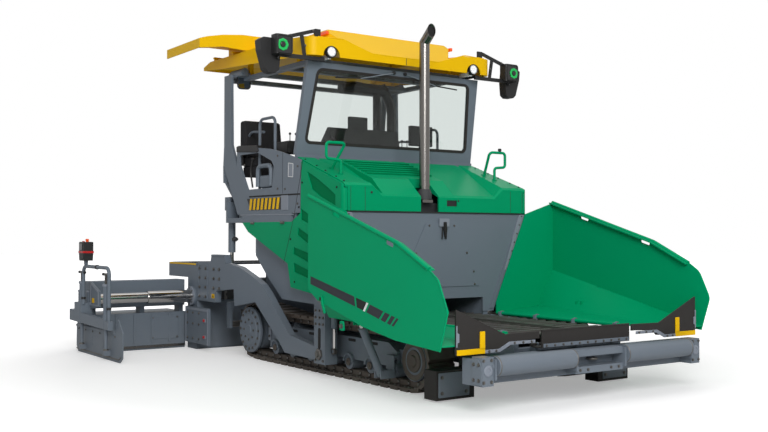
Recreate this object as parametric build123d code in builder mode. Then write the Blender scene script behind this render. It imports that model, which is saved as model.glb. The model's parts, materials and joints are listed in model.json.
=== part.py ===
"""Tracked asphalt paver with a folding hopper, a two-post roof and a towed, extending screed.

Frame: +X is the direction of travel (the hopper's end), +Y the machine's left, +Z up, millimetres.
X is first counted from the middle of the tracks' contact with the ground; `keep` then shifts every
piece so that the origin lies on the ground, under the middle of the machine's length.
"""

from build123d import *
import math
import os

os.makedirs("parts", exist_ok=True)

# ---------------------------------------------------------------- driving sizes
# tracks
TRACK_CONTACT = 3060  # length of track on the ground
TRACK_OUTER = 1122  # outer edge of the shoes, from the centre plane
SHOE_WIDTH = 305
SHOE_HEIGHT = 40  # plate and rubber pad
CHAIN_HEIGHT = 62
CHAIN_WIDTH = 150
SHOE_COUNT = 50
SPROCKET = (-1680, 350, 340)  # x, z and radius out to the pads
IDLER = (1500, 298, 298)
CARRIER_X, TRACK_TOP_AT_CARRIER = -830, 598
HUB_PROUD = 32  # final drive's cover, past the shoes

# chassis and hopper
CHASSIS_HALF = 700
CHASSIS_WALL = 60
CHASSIS_REAR, CHASSIS_FRONT = -2150, 2480
CHASSIS_BOTTOM = 280
CONVEYOR_TOP = 605
DECK_Z = 1000  # top of the deck over the conveyor tunnel
BULKHEAD_X = 535  # front face of the wall behind the hopper
BULKHEAD_TOP = 1735
TUNNEL_HALF, TUNNEL_TOP = 620, 800

WING_HINGE = (750, 620)  # y and z of the hopper wing's hinge
WING_REAR = 562
WING_WALL = 12
WING_OUTER = 1690

# upper works
ARM_INNER = TRACK_OUTER + HUB_PROUD + 41  # inner face of the tow arms
ARM_THICK = 80
SIDE_Y = ARM_INNER + ARM_THICK  # half of the machine's width over its covers
BOX_OUTER = ARM_INNER - 35
COVER_DEPTH = 20
COVER_TURN = 56  # width of the covers' corner beside the hood's front
HOOD_HALF = SIDE_Y - COVER_DEPTH - 5
HOOD_FRONT = 552
HOOD_REAR = -400
PLATFORM_Z = 1643  # underside of the operator's platform
PLATFORM_THICK = 57
PLATFORM_REAR = -2120
BEAM_TOP = 1739
STACK_X, STACK_Y, STACK_R = 450, -148, 57
HOOD_HINGE = (-388, 2328)
HOOD_LUGS = (-1000, 0, 1000)
SCREEN_BASE = (-440, 2387)  # x and z of the windscreen frame's front face, low and high
SCREEN_TOP = (-250, 3400)

# towing
TOW_POINT = (144, 245)
LIFT_Y = ARM_INNER - 50
LIFT_TOP = (-2215, 1930)
LIFT_EYE = (-2215, 890)
LIFT_ROD_R = 26

# auger
AUGER_X, AUGER_Z, AUGER_R, AUGER_SHAFT_R = -2400, 360, 190, 38
AUGER_END, GEARBOX_HALF = 1060, 45

# screed
SCREED_HALF = SIDE_Y
SCREED_FRONT, SCREED_REAR = -2950, -3250
WALKWAY_Z = 1120
TUBE_X, TUBE_Z, TUBE_R = -3100, 690, 82
EXT_FRONT, EXT_REAR = -3272, -3880
EXT_INNER = SCREED_HALF + 25
EXT_OUTER = EXT_INNER + 1245
GATE_INNER = EXT_OUTER + 55
GATE_OUTER = GATE_INNER + 12
GATE_ROD_Y = -(GATE_OUTER + 48)

APRON_HINGE = (2560, 520)
APRON_LUGS = (-500, -10, 480)

# rollers in front
PUSH_PIVOT_X, PUSH_Z = 2560, 365
ROLLER_X, ROLLER_Z, ROLLER_R = 2836, 409, 85

# clearances
RUN = 0.3  # between pieces that sit together without touching
GAP = 5  # between pieces that move past each other

FRONT_X = ROLLER_X + ROLLER_R
CENTRE_X = (FRONT_X + EXT_REAR) / 2


# ---------------------------------------------------------------- helpers
def keep(piece, label):
    """Shift a finished piece so that the machine's length is centred, name it and write it."""
    piece.part.label = label
    shifted = piece.part.moved(Location((-CENTRE_X, 0, 0)))
    shifted.label = label
    export_step(shifted, f"parts/{label}.step")


def keep_pair(right, name):
    """Write a right-hand piece and its mirror image across the machine's centre plane."""
    keep(right, f"{name}_right")
    with BuildPart() as left:
        mirror(right.part, about=Plane.XZ)
    keep(left, f"{name}_left")


def keep_both(right, name):
    """Write a right-hand piece and its mirror image as two solids of one node."""
    with BuildPart() as both:
        add(right.part)
        mirror(right.part, about=Plane.XZ)
    keep(both, name)


def plate_xz(outline, y_from, y_to, mode=Mode.ADD):
    """Add a plate with an (x, z) outline between two values of y."""
    with BuildSketch(Plane.XZ.offset(-y_from)) as face:
        with BuildLine():
            Polyline(*outline, close=True)
        make_face()
    extrude(face.sketch, amount=y_from - y_to, mode=mode)


def plate_yz(outline, x_from, x_to, mode=Mode.ADD):
    """Add a plate with a (y, z) outline between two values of x."""
    with BuildSketch(Plane.YZ.offset(x_from)) as face:
        with BuildLine():
            Polyline(*outline, close=True)
        make_face()
    extrude(face.sketch, amount=x_to - x_from, mode=mode)


def plate_xy(outline, z_from, z_to, mode=Mode.ADD):
    """Add a plate with an (x, y) outline between two values of z."""
    with BuildSketch(Plane.XY.offset(z_from)) as face:
        with BuildLine():
            Polyline(*outline, close=True)
        make_face()
    extrude(face.sketch, amount=z_to - z_from, mode=mode)


def block(x, y, z, mode=Mode.ADD):
    """Add a box given as three (low, high) pairs."""
    size = [high - low for low, high in (x, y, z)]
    centre = [(high + low) / 2 for low, high in (x, y, z)]
    with Locations(tuple(centre)):
        Box(*size, mode=mode)


def round_upright_edge(corner, inwards, radius, z_from, z_to):
    """Round an upright edge at an (x, y) corner; inwards holds the signs of x and y into the piece."""
    (x, y), (sx, sy), spare = corner, inwards, 2
    middle = radius * (1 - math.sqrt(0.5))
    with BuildSketch(Plane.XY.offset(z_from)) as waste:
        with BuildLine():
            Polyline(
                (x + sx * radius, y), (x + sx * radius, y - sy * spare), (x - sx * spare, y - sy * spare),
                (x - sx * spare, y + sy * radius), (x, y + sy * radius),
            )
            ThreePointArc((x, y + sy * radius), (x + sx * middle, y + sy * middle), (x + sx * radius, y))
        make_face()
    extrude(waste.sketch, amount=z_to - z_from, mode=Mode.SUBTRACT)


def creased_sheet(lines, thickness):
    """Loft a creased sheet through lines of (y, z) points, each given with its x."""
    ends = []
    for x, line in lines:
        underside = [(y, z - thickness) for y, z in reversed(line)]
        with BuildSketch(Plane.YZ.offset(x)) as end:
            with BuildLine():
                Polyline(*line, *underside, close=True)
            make_face()
        ends.append(end.sketch.faces()[0])
    loft(ends, ruled=True)


def rod(start, end, radius, mode=Mode.ADD):
    """Add a round bar between two points."""
    along = Vector(*end) - Vector(*start)
    with BuildSketch(Plane(origin=start, z_dir=along)) as section:
        Circle(radius)
    extrude(section.sketch, amount=along.length, mode=mode)


def bent_tube(points, bend, radius):
    """Add a round tube, drawn solid, along straight runs joined by arcs."""
    with BuildLine() as route:
        FilletPolyline(*points, radius=bend)
    start = route.line @ 0
    with BuildSketch(Plane(origin=start, z_dir=route.line % 0)) as section:
        Circle(radius)
    sweep(section.sketch, path=route.line)


# ---------------------------------------------------------------- tracks
def track_line(inset):
    """Points of the closed track line, a distance inside the pads' faces, evenly stepped on its arcs."""
    sprocket_x, sprocket_z, sprocket_r = SPROCKET
    idler_x, idler_z, idler_r = IDLER
    arc_steps = 12
    points = [(-TRACK_CONTACT / 2, inset)]
    for step in range(arc_steps + 1):
        angle = math.radians(-90 + 180 * step / arc_steps)
        reach = idler_r - inset
        points.append((idler_x + reach * math.cos(angle), idler_z + reach * math.sin(angle)))
    points.append((CARRIER_X, TRACK_TOP_AT_CARRIER - inset))
    for step in range(arc_steps + 1):
        angle = math.radians(84 + 184 * step / arc_steps)
        reach = sprocket_r - inset
        points.append((sprocket_x + reach * math.cos(angle), sprocket_z + reach * math.sin(angle)))
    return points


def along_line(points, distance):
    """Point and unit direction at a distance along a closed line of points."""
    ring = points + points[:1]
    for (x0, z0), (x1, z1) in zip(ring, ring[1:]):
        span = math.hypot(x1 - x0, z1 - z0)
        if distance <= span:
            ux, uz = (x1 - x0) / span, (z1 - z0) / span
            return (x0 + ux * distance, z0 + uz * distance), (ux, uz)
        distance -= span
    return ring[0], (1, 0)


def shoe_outline():
    """Closed outline of the whole track's outside, with one raised pad for each shoe."""
    pad_height, pad_share, root_share = 26, 0.68, 0.84
    line = track_line(0)
    ring = line + line[:1]
    length = sum(math.dist(a, b) for a, b in zip(ring, ring[1:]))
    pitch = length / SHOE_COUNT
    outline = []
    for shoe in range(SHOE_COUNT):
        (x, z), (ux, uz) = along_line(line, (shoe + 0.5) * pitch)
        for share, inset in (
            (-root_share, pad_height), (-pad_share, 0), (pad_share, 0), (root_share, pad_height),
        ):
            shift = share * pitch / 2
            outline.append((x + ux * shift - uz * inset, z + uz * shift + ux * inset))
    return outline


SHOE_INNER = TRACK_OUTER - SHOE_WIDTH
CHAIN_INSET = SHOE_HEIGHT + CHAIN_HEIGHT
TRACK_MID = TRACK_OUTER - SHOE_WIDTH / 2

with BuildPart() as track:
    plate_xz(shoe_outline(), -TRACK_OUTER, -SHOE_INNER)
    plate_xz(track_line(SHOE_HEIGHT), -TRACK_OUTER, -SHOE_INNER, mode=Mode.SUBTRACT)
    chain_edges = (-TRACK_MID - CHAIN_WIDTH / 2, -TRACK_MID + CHAIN_WIDTH / 2)
    with BuildSketch(Plane.XZ.offset(-chain_edges[0])) as chain_ring:
        with BuildLine():
            Polyline(*track_line(SHOE_HEIGHT), close=True)
        make_face()
        with BuildLine():
            Polyline(*track_line(CHAIN_INSET), close=True)
        make_face(mode=Mode.SUBTRACT)
    extrude(chain_ring.sketch, amount=-CHAIN_WIDTH)
keep_pair(track, "track")

FRAME_INNER, FRAME_OUTER = SHOE_INNER + 20, TRACK_OUTER - 45
ROLLER_BOTTOM_R = 78
ROLLER_BOTTOM_Z = CHAIN_INSET + RUN + ROLLER_BOTTOM_R
BOTTOM_ROLLERS = [-1180 + 393 * i for i in range(7)]
with BuildPart() as track_frame:
    plate_xz(
        [(-1330, 210), (-1330, 330), (-1180, 440), (1080, 440), (1230, 360), (1230, 210)],
        -FRAME_OUTER, -FRAME_INNER,
    )
    for x in BOTTOM_ROLLERS:
        rod((x, -FRAME_OUTER - 10, ROLLER_BOTTOM_Z), (x, -FRAME_INNER, ROLLER_BOTTOM_Z), ROLLER_BOTTOM_R)
        rod((x, -FRAME_OUTER - 22, ROLLER_BOTTOM_Z), (x, -FRAME_OUTER - 9, ROLLER_BOTTOM_Z), 42)
    for x, z, outer_r in (SPROCKET, IDLER):
        rod((x, -FRAME_OUTER, z), (x, -FRAME_INNER, z), outer_r - CHAIN_INSET - 4)
    block((-1480, -1300), (-FRAME_OUTER + 40, -FRAME_INNER), (250, 430))
    block((1180, 1330), (-FRAME_OUTER + 40, -FRAME_INNER), (250, 380))
    carrier_r = 60
    carrier_z = TRACK_TOP_AT_CARRIER - CHAIN_INSET - RUN - carrier_r
    rod((CARRIER_X, -FRAME_OUTER + 60, carrier_z), (CARRIER_X, -FRAME_INNER, carrier_z), carrier_r)
    block((CARRIER_X - 40, CARRIER_X + 40), (-FRAME_OUTER + 80, -FRAME_INNER), (430, 480))
    hub_x, hub_z = SPROCKET[0] - 20, SPROCKET[1]
    rod((hub_x, -TRACK_OUTER - HUB_PROUD, hub_z), (hub_x, -TRACK_OUTER - 6, hub_z), 272)
    rod((hub_x, -TRACK_OUTER - 6, hub_z), (hub_x, -FRAME_OUTER, hub_z), 180)
    for x in (-700, 800):
        block((x - 110, x + 110), (-FRAME_INNER, -CHASSIS_HALF), (300, 430))
keep_both(track_frame, "track_frames")

# ---------------------------------------------------------------- chassis
with BuildPart() as chassis:
    for side in (-1, 1):
        plate_xz(
            [
                (CHASSIS_REAR, CHASSIS_BOTTOM), (CHASSIS_REAR, DECK_Z), (BULKHEAD_X - 15, DECK_Z),
                (BULKHEAD_X - 15, CONVEYOR_TOP), (CHASSIS_FRONT, CONVEYOR_TOP - 35),
                (CHASSIS_FRONT, CHASSIS_BOTTOM),
            ],
            side * (CHASSIS_HALF - CHASSIS_WALL), side * CHASSIS_HALF,
        )
    inner = CHASSIS_HALF - CHASSIS_WALL
    block((CHASSIS_REAR, BULKHEAD_X - 15), (-inner, inner), (DECK_Z - 15, DECK_Z))
    block((CHASSIS_REAR + 150, CHASSIS_FRONT), (-inner, inner), (CHASSIS_BOTTOM, CHASSIS_BOTTOM + 20))
    block((CHASSIS_FRONT - 80, CHASSIS_FRONT), (-inner, inner), (CHASSIS_BOTTOM, 480))
    # lugs round the hopper wings' hinge rods
    hinge_y, hinge_z = WING_HINGE
    for side in (-1, 1):
        for x in (700, 1260, 1820, 2380):
            block((x, x + 20), sorted((side * CHASSIS_HALF, side * hinge_y)), (hinge_z - 110, hinge_z + 20))
            rod((x, side * hinge_y, hinge_z), (x + 20, side * hinge_y, hinge_z), 30)
            rod((x, side * hinge_y, hinge_z), (x + 20, side * hinge_y, hinge_z), 20.3, mode=Mode.SUBTRACT)
    # clevis of the push beam and lugs of the apron, in front
    for z in (PUSH_Z - 65, PUSH_Z + 35):
        block((CHASSIS_FRONT - 1, PUSH_PIVOT_X + 30), (-75, 75), (z, z + 30))
        rod((PUSH_PIVOT_X, 0, z), (PUSH_PIVOT_X, 0, z + 30), 25.3, mode=Mode.SUBTRACT)
    apron_x, apron_z = APRON_HINGE
    for y in APRON_LUGS:
        block((CHASSIS_FRONT - 1, apron_x), (y, y + 20), (440, apron_z + 14))
        rod((apron_x, y, apron_z), (apron_x, y + 20, apron_z), 18)
        rod((apron_x, y, apron_z), (apron_x, y + 20, apron_z), 10.3, mode=Mode.SUBTRACT)
    # beam, gearbox and end bearings that carry the augers, behind
    block((AUGER_X - 50, AUGER_X + 50), (-1100, 1100), (560, 640))
    block((AUGER_X - 50, AUGER_X + 50), (-GEARBOX_HALF, GEARBOX_HALF), (AUGER_Z - 60, 561))
    for side in (-1, 1):
        block((AUGER_X - 40, AUGER_X + 40), sorted((side * AUGER_END, side * 1100)), (AUGER_Z - 50, 561))
        hanger = sorted((side * (CHASSIS_HALF - 55), side * (CHASSIS_HALF - 5)))
        block((AUGER_X + 40, CHASSIS_REAR + 1), hanger, (560, 700))
keep(chassis, "chassis")

with BuildPart() as conveyor:
    feed_half = CHASSIS_HALF - CHASSIS_WALL - 8
    conveyor_front = CHASSIS_FRONT - 80 - RUN
    block((CHASSIS_REAR - 60, conveyor_front), (-feed_half, -14), (CONVEYOR_TOP - 25, CONVEYOR_TOP - 12))
    block((CHASSIS_REAR - 60, conveyor_front), (14, feed_half), (CONVEYOR_TOP - 25, CONVEYOR_TOP - 12))
    block((CHASSIS_REAR - 60, conveyor_front), (-14, 14), (CHASSIS_BOTTOM + 20, CONVEYOR_TOP + 30))
    for i in range(31):
        x = CHASSIS_REAR + 40 + i * 145
        for y in ((-feed_half + 20, -14), (14, feed_half - 20)):
            block((x, x + 30), y, (CONVEYOR_TOP - 12, CONVEYOR_TOP + 8))
keep(conveyor, "conveyor")

with BuildPart() as engine:
    block((-400, 400), (-430, 430), (DECK_Z, 1850))
keep(engine, "engine")

with BuildPart() as bulkhead:
    low_half, foot_z = 775, 640
    top_half = SIDE_Y - COVER_DEPTH
    plate_yz(
        [
            (-top_half, BULKHEAD_TOP), (top_half, BULKHEAD_TOP), (low_half, foot_z), (TUNNEL_HALF, foot_z),
            (TUNNEL_HALF, TUNNEL_TOP), (-TUNNEL_HALF, TUNNEL_TOP), (-TUNNEL_HALF, foot_z), (-low_half, foot_z),
        ],
        BULKHEAD_X - 15, BULKHEAD_X,
    )
    plate_yz(
        [(-200, 1620), (200, 1620), (560, 930), (-560, 930)], BULKHEAD_X, BULKHEAD_X + 10
    )
    for side in (-1, 1):
        plate_yz(
            [
                (side * (top_half - 70), BULKHEAD_TOP), (side * top_half, BULKHEAD_TOP),
                (side * low_half, foot_z + 30), (side * (low_half - 60), foot_z + 30),
            ],
            BULKHEAD_X, BULKHEAD_X + 12,
        )
    block((BULKHEAD_X, BULKHEAD_X + 15), (20, 110), (1560, 1650))
keep(bulkhead, "bulkhead")

# ---------------------------------------------------------------- side covers and boxes
COVER_TOP = [(HOOD_REAR + 120, 2302), (522, 2030), (HOOD_FRONT, 2003)]
RECESS_DEPTH = 12
# outlines of the recesses pressed into the cover, the curved one first
COVER_RECESSES = [
    [
        (-162, 2183), (-60, 2145), (90, 2080), (250, 2000), (412, 1913),
        (413, 1798), (260, 1850), (107, 1905), (-60, 1990),
    ],
    [(-288, 1785), (-51, 1688), (-50, 1596), (-287, 1663)],
    [(-350, 1579), (-50, 1467), (-49, 1366), (-360, 1495)],
    [(-435, 1362), (-49, 1284), (-48, 1182), (-453, 1286)],
    [(-440, 1190), (-47, 1100), (-46, 1010), (-430, 1090)],
    [(160, 1560), (420, 1430), (410, 1330), (160, 1440)],
    [(160, 1340), (400, 1230), (390, 1130), (160, 1220)],
]
with BuildPart() as side_cover:
    plate_xz(
        [
            *COVER_TOP, (HOOD_FRONT, 1750), (480, 1500), (400, 860), (30, 860), (-510, 918), (-580, 1178),
            (-1530, 1530), (-1680, PLATFORM_Z - RUN), (-495, PLATFORM_Z - RUN), (-300, 1734),
        ],
        -SIDE_Y, -SIDE_Y + COVER_DEPTH,
    )
    # the corner that turns in beside the hood's front
    block((HOOD_FRONT - 60, HOOD_FRONT), (-SIDE_Y, -SIDE_Y + COVER_TURN), (1750, 1984))
    round_upright_edge((HOOD_FRONT, -SIDE_Y), (-1, 1), 45, 1740, 2060)
    for outline in COVER_RECESSES:
        plate_xz(outline, -SIDE_Y - 1, -SIDE_Y + RECESS_DEPTH, mode=Mode.SUBTRACT)
keep_both(side_cover, "side_covers")

with BuildPart() as side_box:
    plate_xz(
        [
            (-1550, PLATFORM_Z - RUN), (-1550, 1250), (-1250, 1000), (-900, 760), (0, 740), (300, 900),
            (300, PLATFORM_Z - RUN),
        ],
        -BOX_OUTER, -CHASSIS_HALF,
    )
    block((-460, 500), (-BOX_OUTER, -480), (1000, PLATFORM_Z - 40), mode=Mode.SUBTRACT)
    block((-460, 300), (-SIDE_Y + COVER_DEPTH, -BOX_OUTER + 60), (960, 990))
    block((-1500, -1400), (-SIDE_Y + COVER_DEPTH, -BOX_OUTER), (1560, 1600))
keep_both(side_box, "side_boxes")

# ---------------------------------------------------------------- hood
HOOD_SHEET = 22
FASCIA_BOTTOM = 1750
# from rear to front: x, inner half-width and height of the shoulders, half-width and height of the middle
HOOD_SECTIONS = [
    (HOOD_REAR, 1045, 2355, 1030, 2352),
    (HOOD_FRONT - 30, 908, 2040, 788, 1936),
    (HOOD_FRONT, 904, 2013, 780, 1908),
]


def hood_line(shoulder_y, shoulder_z, middle_y, middle_z, half):
    """Line of (y, z) points across the hood's top."""
    right = [(-half, shoulder_z), (-shoulder_y, shoulder_z), (-middle_y, middle_z)]
    return right + [(-y, z) for y, z in reversed(right)]


def shoulder_z(x):
    """Height of the hood's shoulders at a distance along the machine."""
    (x0, _, z0, _, _), (x1, _, z1, _, _) = HOOD_SECTIONS[:2]
    return z0 + (x - x0) / (x1 - x0) * (z1 - z0)


LOUVRE_BLOCK = [(HOOD_REAR + 5, 2340), (HOOD_REAR + 5, 2358), (327, 2105), (540, 1922), (540, 1904)]
LOUVRE_SIDES = (-760, 200)
LOUVRES = 6
HANDLE_Y = 1080
with BuildPart() as hood:
    creased_sheet([(x, hood_line(*section, HOOD_HALF)) for x, *section in HOOD_SECTIONS], HOOD_SHEET)
    # the upright front, narrower than the top by the covers' corners
    fascia_half = SIDE_Y - COVER_TURN - GAP
    top = [(y, z - 8) for y, z in hood_line(*HOOD_SECTIONS[-1][1:], fascia_half)]
    fascia = [(-fascia_half, FASCIA_BOTTOM), *top, (fascia_half, FASCIA_BOTTOM)]
    plate_yz(fascia, HOOD_FRONT - HOOD_SHEET, HOOD_FRONT - 1)
    block((HOOD_FRONT - 13, HOOD_FRONT), (86, 232), (1812, 1880), mode=Mode.SUBTRACT)
    # the raised middle with its louvres and the slot that the exhaust stands in
    plate_xz(LOUVRE_BLOCK, *LOUVRE_SIDES)
    (block_x, block_z), (brow_x, brow_z) = LOUVRE_BLOCK[1:3]
    for i in range(LOUVRES):
        x = -260 + 86 * i
        z = block_z + (x - block_x) / (brow_x - block_x) * (brow_z - block_z)
        blade = [(x - 58, z + 12), (x, z + 22), (x, z - 6), (x - 58, z + 8)]
        plate_xz(blade, LOUVRE_SIDES[0] + 40, LOUVRE_SIDES[1] - 30)
    block((290, HOOD_FRONT + 1), (STACK_Y - 123, STACK_Y + 122), (1700, 2400), mode=Mode.SUBTRACT)
    for side in (-1, 1):
        rear_foot, front_foot, outer_y = 20, 210, side * (HANDLE_Y + 175)
        bent_tube(
            [
                (rear_foot, side * HANDLE_Y, shoulder_z(rear_foot) - 12), (200, side * (HANDLE_Y - 65), 2475),
                (200, outer_y, 2475), (200, outer_y, 2305), (front_foot, side * HANDLE_Y, 2290),
                (front_foot, side * HANDLE_Y, shoulder_z(front_foot) - 12),
            ],
            38, 16,
        )
    # hinge rod, bare at the lugs of the dash wall
    hinge_x, hinge_z = HOOD_HINGE
    for y in HOOD_LUGS:
        block((HOOD_REAR - 1, hinge_x + 25), (y - 20, y + 20), (hinge_z - 30, 2400), mode=Mode.SUBTRACT)
    rod((hinge_x, -1100, hinge_z), (hinge_x, 1100, hinge_z), 10)
keep(hood, "hood")

# ---------------------------------------------------------------- exhaust
STACK_FOOT_Z, STACK_BEND_Z, STACK_MOUTH_X = 1850 + RUN, 3607, STACK_X + 125


def stack_tube(z_from, radius, mode=Mode.ADD):
    """Add the upright pipe and its slanted end, joined in a mitre."""
    foot = (STACK_X, STACK_Y, z_from)
    lean = math.radians(48)
    reach = 300
    with BuildLine() as route:
        Polyline(
            foot, (STACK_X, STACK_Y, STACK_BEND_Z),
            (STACK_X + reach * math.sin(lean), STACK_Y, STACK_BEND_Z + reach * math.cos(lean)),
        )
    with BuildSketch(Plane.XY.offset(z_from)) as section:
        with Locations((STACK_X, STACK_Y)):
            Circle(radius)
    sweep(section.sketch, path=route.line, transition=Transition.RIGHT, mode=mode)


with BuildPart() as exhaust:
    stack_tube(STACK_FOOT_Z, STACK_R)
    stack_tube(STACK_BEND_Z - 300, STACK_R - 5, mode=Mode.SUBTRACT)
    block((STACK_MOUTH_X, STACK_X + 400), (STACK_Y - 100, STACK_Y + 100), (3500, 4000), mode=Mode.SUBTRACT)
    # foot plate on the engine
    block((320, 510), (STACK_Y - 70, STACK_Y + 70), (STACK_FOOT_Z, STACK_FOOT_Z + 30))
keep(exhaust, "exhaust")

# ---------------------------------------------------------------- platform
with BuildPart() as platform:
    block((PLATFORM_REAR, -500), (-SIDE_Y, SIDE_Y), (PLATFORM_Z, PLATFORM_Z + PLATFORM_THICK))
    block((-501, HOOD_REAR - 20), (-1250, 1250), (PLATFORM_Z, PLATFORM_Z + PLATFORM_THICK))
    for y in ((-SIDE_Y, -SIDE_Y + 60), (SIDE_Y - 60, SIDE_Y)):
        block((-1700, -500), y, (PLATFORM_Z, BEAM_TOP))
    block((HOOD_REAR - 60, HOOD_REAR - 20), (-1255, 1255), (PLATFORM_Z, SCREEN_BASE[1] - RUN))
    for y in HOOD_LUGS:
        block((HOOD_REAR - 21, HOOD_HINGE[0]), (y - 15, y + 15), (HOOD_HINGE[1] - 18, HOOD_HINGE[1] + 18))
        rod((HOOD_HINGE[0], y - 15, HOOD_HINGE[1]), (HOOD_HINGE[0], y + 15, HOOD_HINGE[1]), 18)
        rod(
            (HOOD_HINGE[0], y - 15, HOOD_HINGE[1]), (HOOD_HINGE[0], y + 15, HOOD_HINGE[1]), 10 + RUN,
            mode=Mode.SUBTRACT,
        )
    for side in (-1, 1):
        block((PLATFORM_REAR, PLATFORM_REAR + 40), sorted((side * 950, side * SIDE_Y)), (PLATFORM_Z, 1900))
        for y in (LIFT_Y - 75, LIFT_Y + 55):
            block((LIFT_TOP[0] - 50, PLATFORM_REAR), sorted((side * y, side * (y + 20))), (1800, 1965))
        rod(
            (LIFT_TOP[0], side * (LIFT_Y - 78), LIFT_TOP[1]), (LIFT_TOP[0], side * (LIFT_Y + 78), LIFT_TOP[1]), 22
        )
keep(platform, "platform")

SIDE_WINDOW = [
    (-1538, 2032), (-1750, 2345), (-1756, 2458), (-1290, 2458),
    (-1140, 2408), (-960, 2345), (-905, 2285), (-943, 2038),
]
with BuildPart() as platform_side:
    plate_xz(
        [
            (-310, BEAM_TOP), (-300, 2318), (-697, 2425), (-1000, 2485), (-1280, 2515), (-1825, 2540),
            (-1835, 2330), (-1500, BEAM_TOP),
        ],
        -SIDE_Y, -SIDE_Y + 20,
    )
    with BuildSketch(Plane.XZ.offset(SIDE_Y + 1)) as window:
        with BuildLine():
            Polyline(*SIDE_WINDOW, close=True)
        make_face()
        fillet(window.vertices(), 24)
    extrude(window.sketch, amount=-30, mode=Mode.SUBTRACT)
    # padded rest along the top, behind
    plate_xz([(-1815, 2505), (-1815, 2560), (-1300, 2535), (-1270, 2475), (-1300, 2470)], -SIDE_Y, -SIDE_Y + 55)
keep_both(platform_side, "platform_sides")

# ---------------------------------------------------------------- windscreen
SCREEN_RISE = math.dist(SCREEN_BASE, SCREEN_TOP)
LEAN = ((SCREEN_TOP[0] - SCREEN_BASE[0]) / SCREEN_RISE, (SCREEN_TOP[1] - SCREEN_BASE[1]) / SCREEN_RISE)
SCREEN_PLANE = Plane(origin=(SCREEN_BASE[0], 0, SCREEN_BASE[1]), x_dir=(0, 1, 0), z_dir=(LEAN[1], 0, -LEAN[0]))
PANE = [(-1156, 130), (1156, 130), (1081, 962), (-1081, 962)]


def pane_sketch(shrink):
    """Rounded outline of the windscreen's opening, drawn in by a small amount."""
    with BuildSketch(SCREEN_PLANE) as pane:
        with BuildLine():
            Polyline(*PANE, close=True)
        make_face()
        fillet(pane.vertices(), 70)
        offset(amount=-shrink, mode=Mode.REPLACE)
    return pane.sketch


with BuildPart() as windscreen_frame:
    with BuildSketch(SCREEN_PLANE) as outer:
        with BuildLine():
            Polyline((-1255, 0), (1255, 0), (1215, SCREEN_RISE), (-1215, SCREEN_RISE), close=True)
        make_face()
    extrude(outer.sketch, amount=-55)
    extrude(pane_sketch(0), amount=-55, mode=Mode.SUBTRACT)
keep(windscreen_frame, "windscreen_frame")

with BuildPart() as windscreen:
    extrude(pane_sketch(RUN), amount=-8)
keep(windscreen, "windscreen")

# ---------------------------------------------------------------- roof
ROOF_FRAME_Z = (3400, 3450)
POST_Y, POST_R = 1178, 42
POST_SHEET = [
    (-2190, 3470), (-2190, 2342), (-1810, BEAM_TOP + RUN), (-1507, BEAM_TOP + RUN), (-1842, 2331), (-1990, 2600),
    (-2010, 3470),
]
with BuildPart() as roof_frame:
    for side in (-1, 1):
        block((-2240, -330), sorted((side * 1040, side * 1120)), ROOF_FRAME_Z)
        bent_tube(
            [
                (-1800, side * POST_Y, 3495), (-2200, side * POST_Y, 3495), (-2262, side * POST_Y, 2870),
                (-2310, side * POST_Y, 2340), (-2305, side * POST_Y, 2150),
            ],
            90, POST_R,
        )
        floor = PLATFORM_Z + PLATFORM_THICK
        rod((-2300, side * POST_Y, 2340), (-1650, side * POST_Y, floor + 60), 30)
        rod((-2306, side * POST_Y, 2160), (-1850, side * POST_Y, floor + 56), 26)
        block((-1900, -1600), sorted((side * (POST_Y - 30), side * (POST_Y + 30))), (floor, floor + 60))
    for x in (-2200, -1600, -1000, -410):
        block((x, x + 80), (-1060, 1060), ROOF_FRAME_Z)
    for side in (-1, 1):
        block((-2200, -1820), sorted((side * 1100, side * (POST_Y + 60))), (3440, 3480))
        # broad sheet outside each post, which slants forward to the platform
        plate_xz(POST_SHEET, side * (SIDE_Y - 40), side * (SIDE_Y - 4))
keep(roof_frame, "roof_frame")

ROOF_SHEET = 12
ROOF_HALF = 1296
ROOF_FRONT, ROOF_REAR = -85, -2740
AWNING_RAILS = (-1950, -2450)
AWNING_Z = 3722  # underside of the awning's runners
BAND_Z = 3530  # top of the low band across the front
CREST = (-447, 3815)
DOME_REAR = -1590
ROOF_SIDE = [
    (ROOF_FRONT, 3442), (ROOF_FRONT, 3640), (-700, 3690), (-2550, 3700), (ROOF_REAR, 3650), (ROOF_REAR, 3610),
    (-2220, 3567), (-500, 3462),
]
LAMP_Y, LAMP_Z = 1010, 3495
LOBE_INNER = 880
with BuildPart() as dome:
    plate_xz([(ROOF_FRONT, BAND_Z), CREST, (-1500, 3810), (DOME_REAR, 3700), (DOME_REAR, BAND_Z)], -905, 905)
    plate_yz(
        [(-905, 3500), (-905, 3660), (-840, 3850), (840, 3850), (905, 3660), (905, 3500)],
        DOME_REAR - 10, ROOF_FRONT + 10, mode=Mode.INTERSECT,
    )
    for side in (-1, 1):
        plate_xy(
            [(ROOF_FRONT + 5, side * 605), (CREST[0], side * 910), (ROOF_FRONT + 5, side * 910)],
            3500, 3900, mode=Mode.SUBTRACT,
        )
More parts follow.
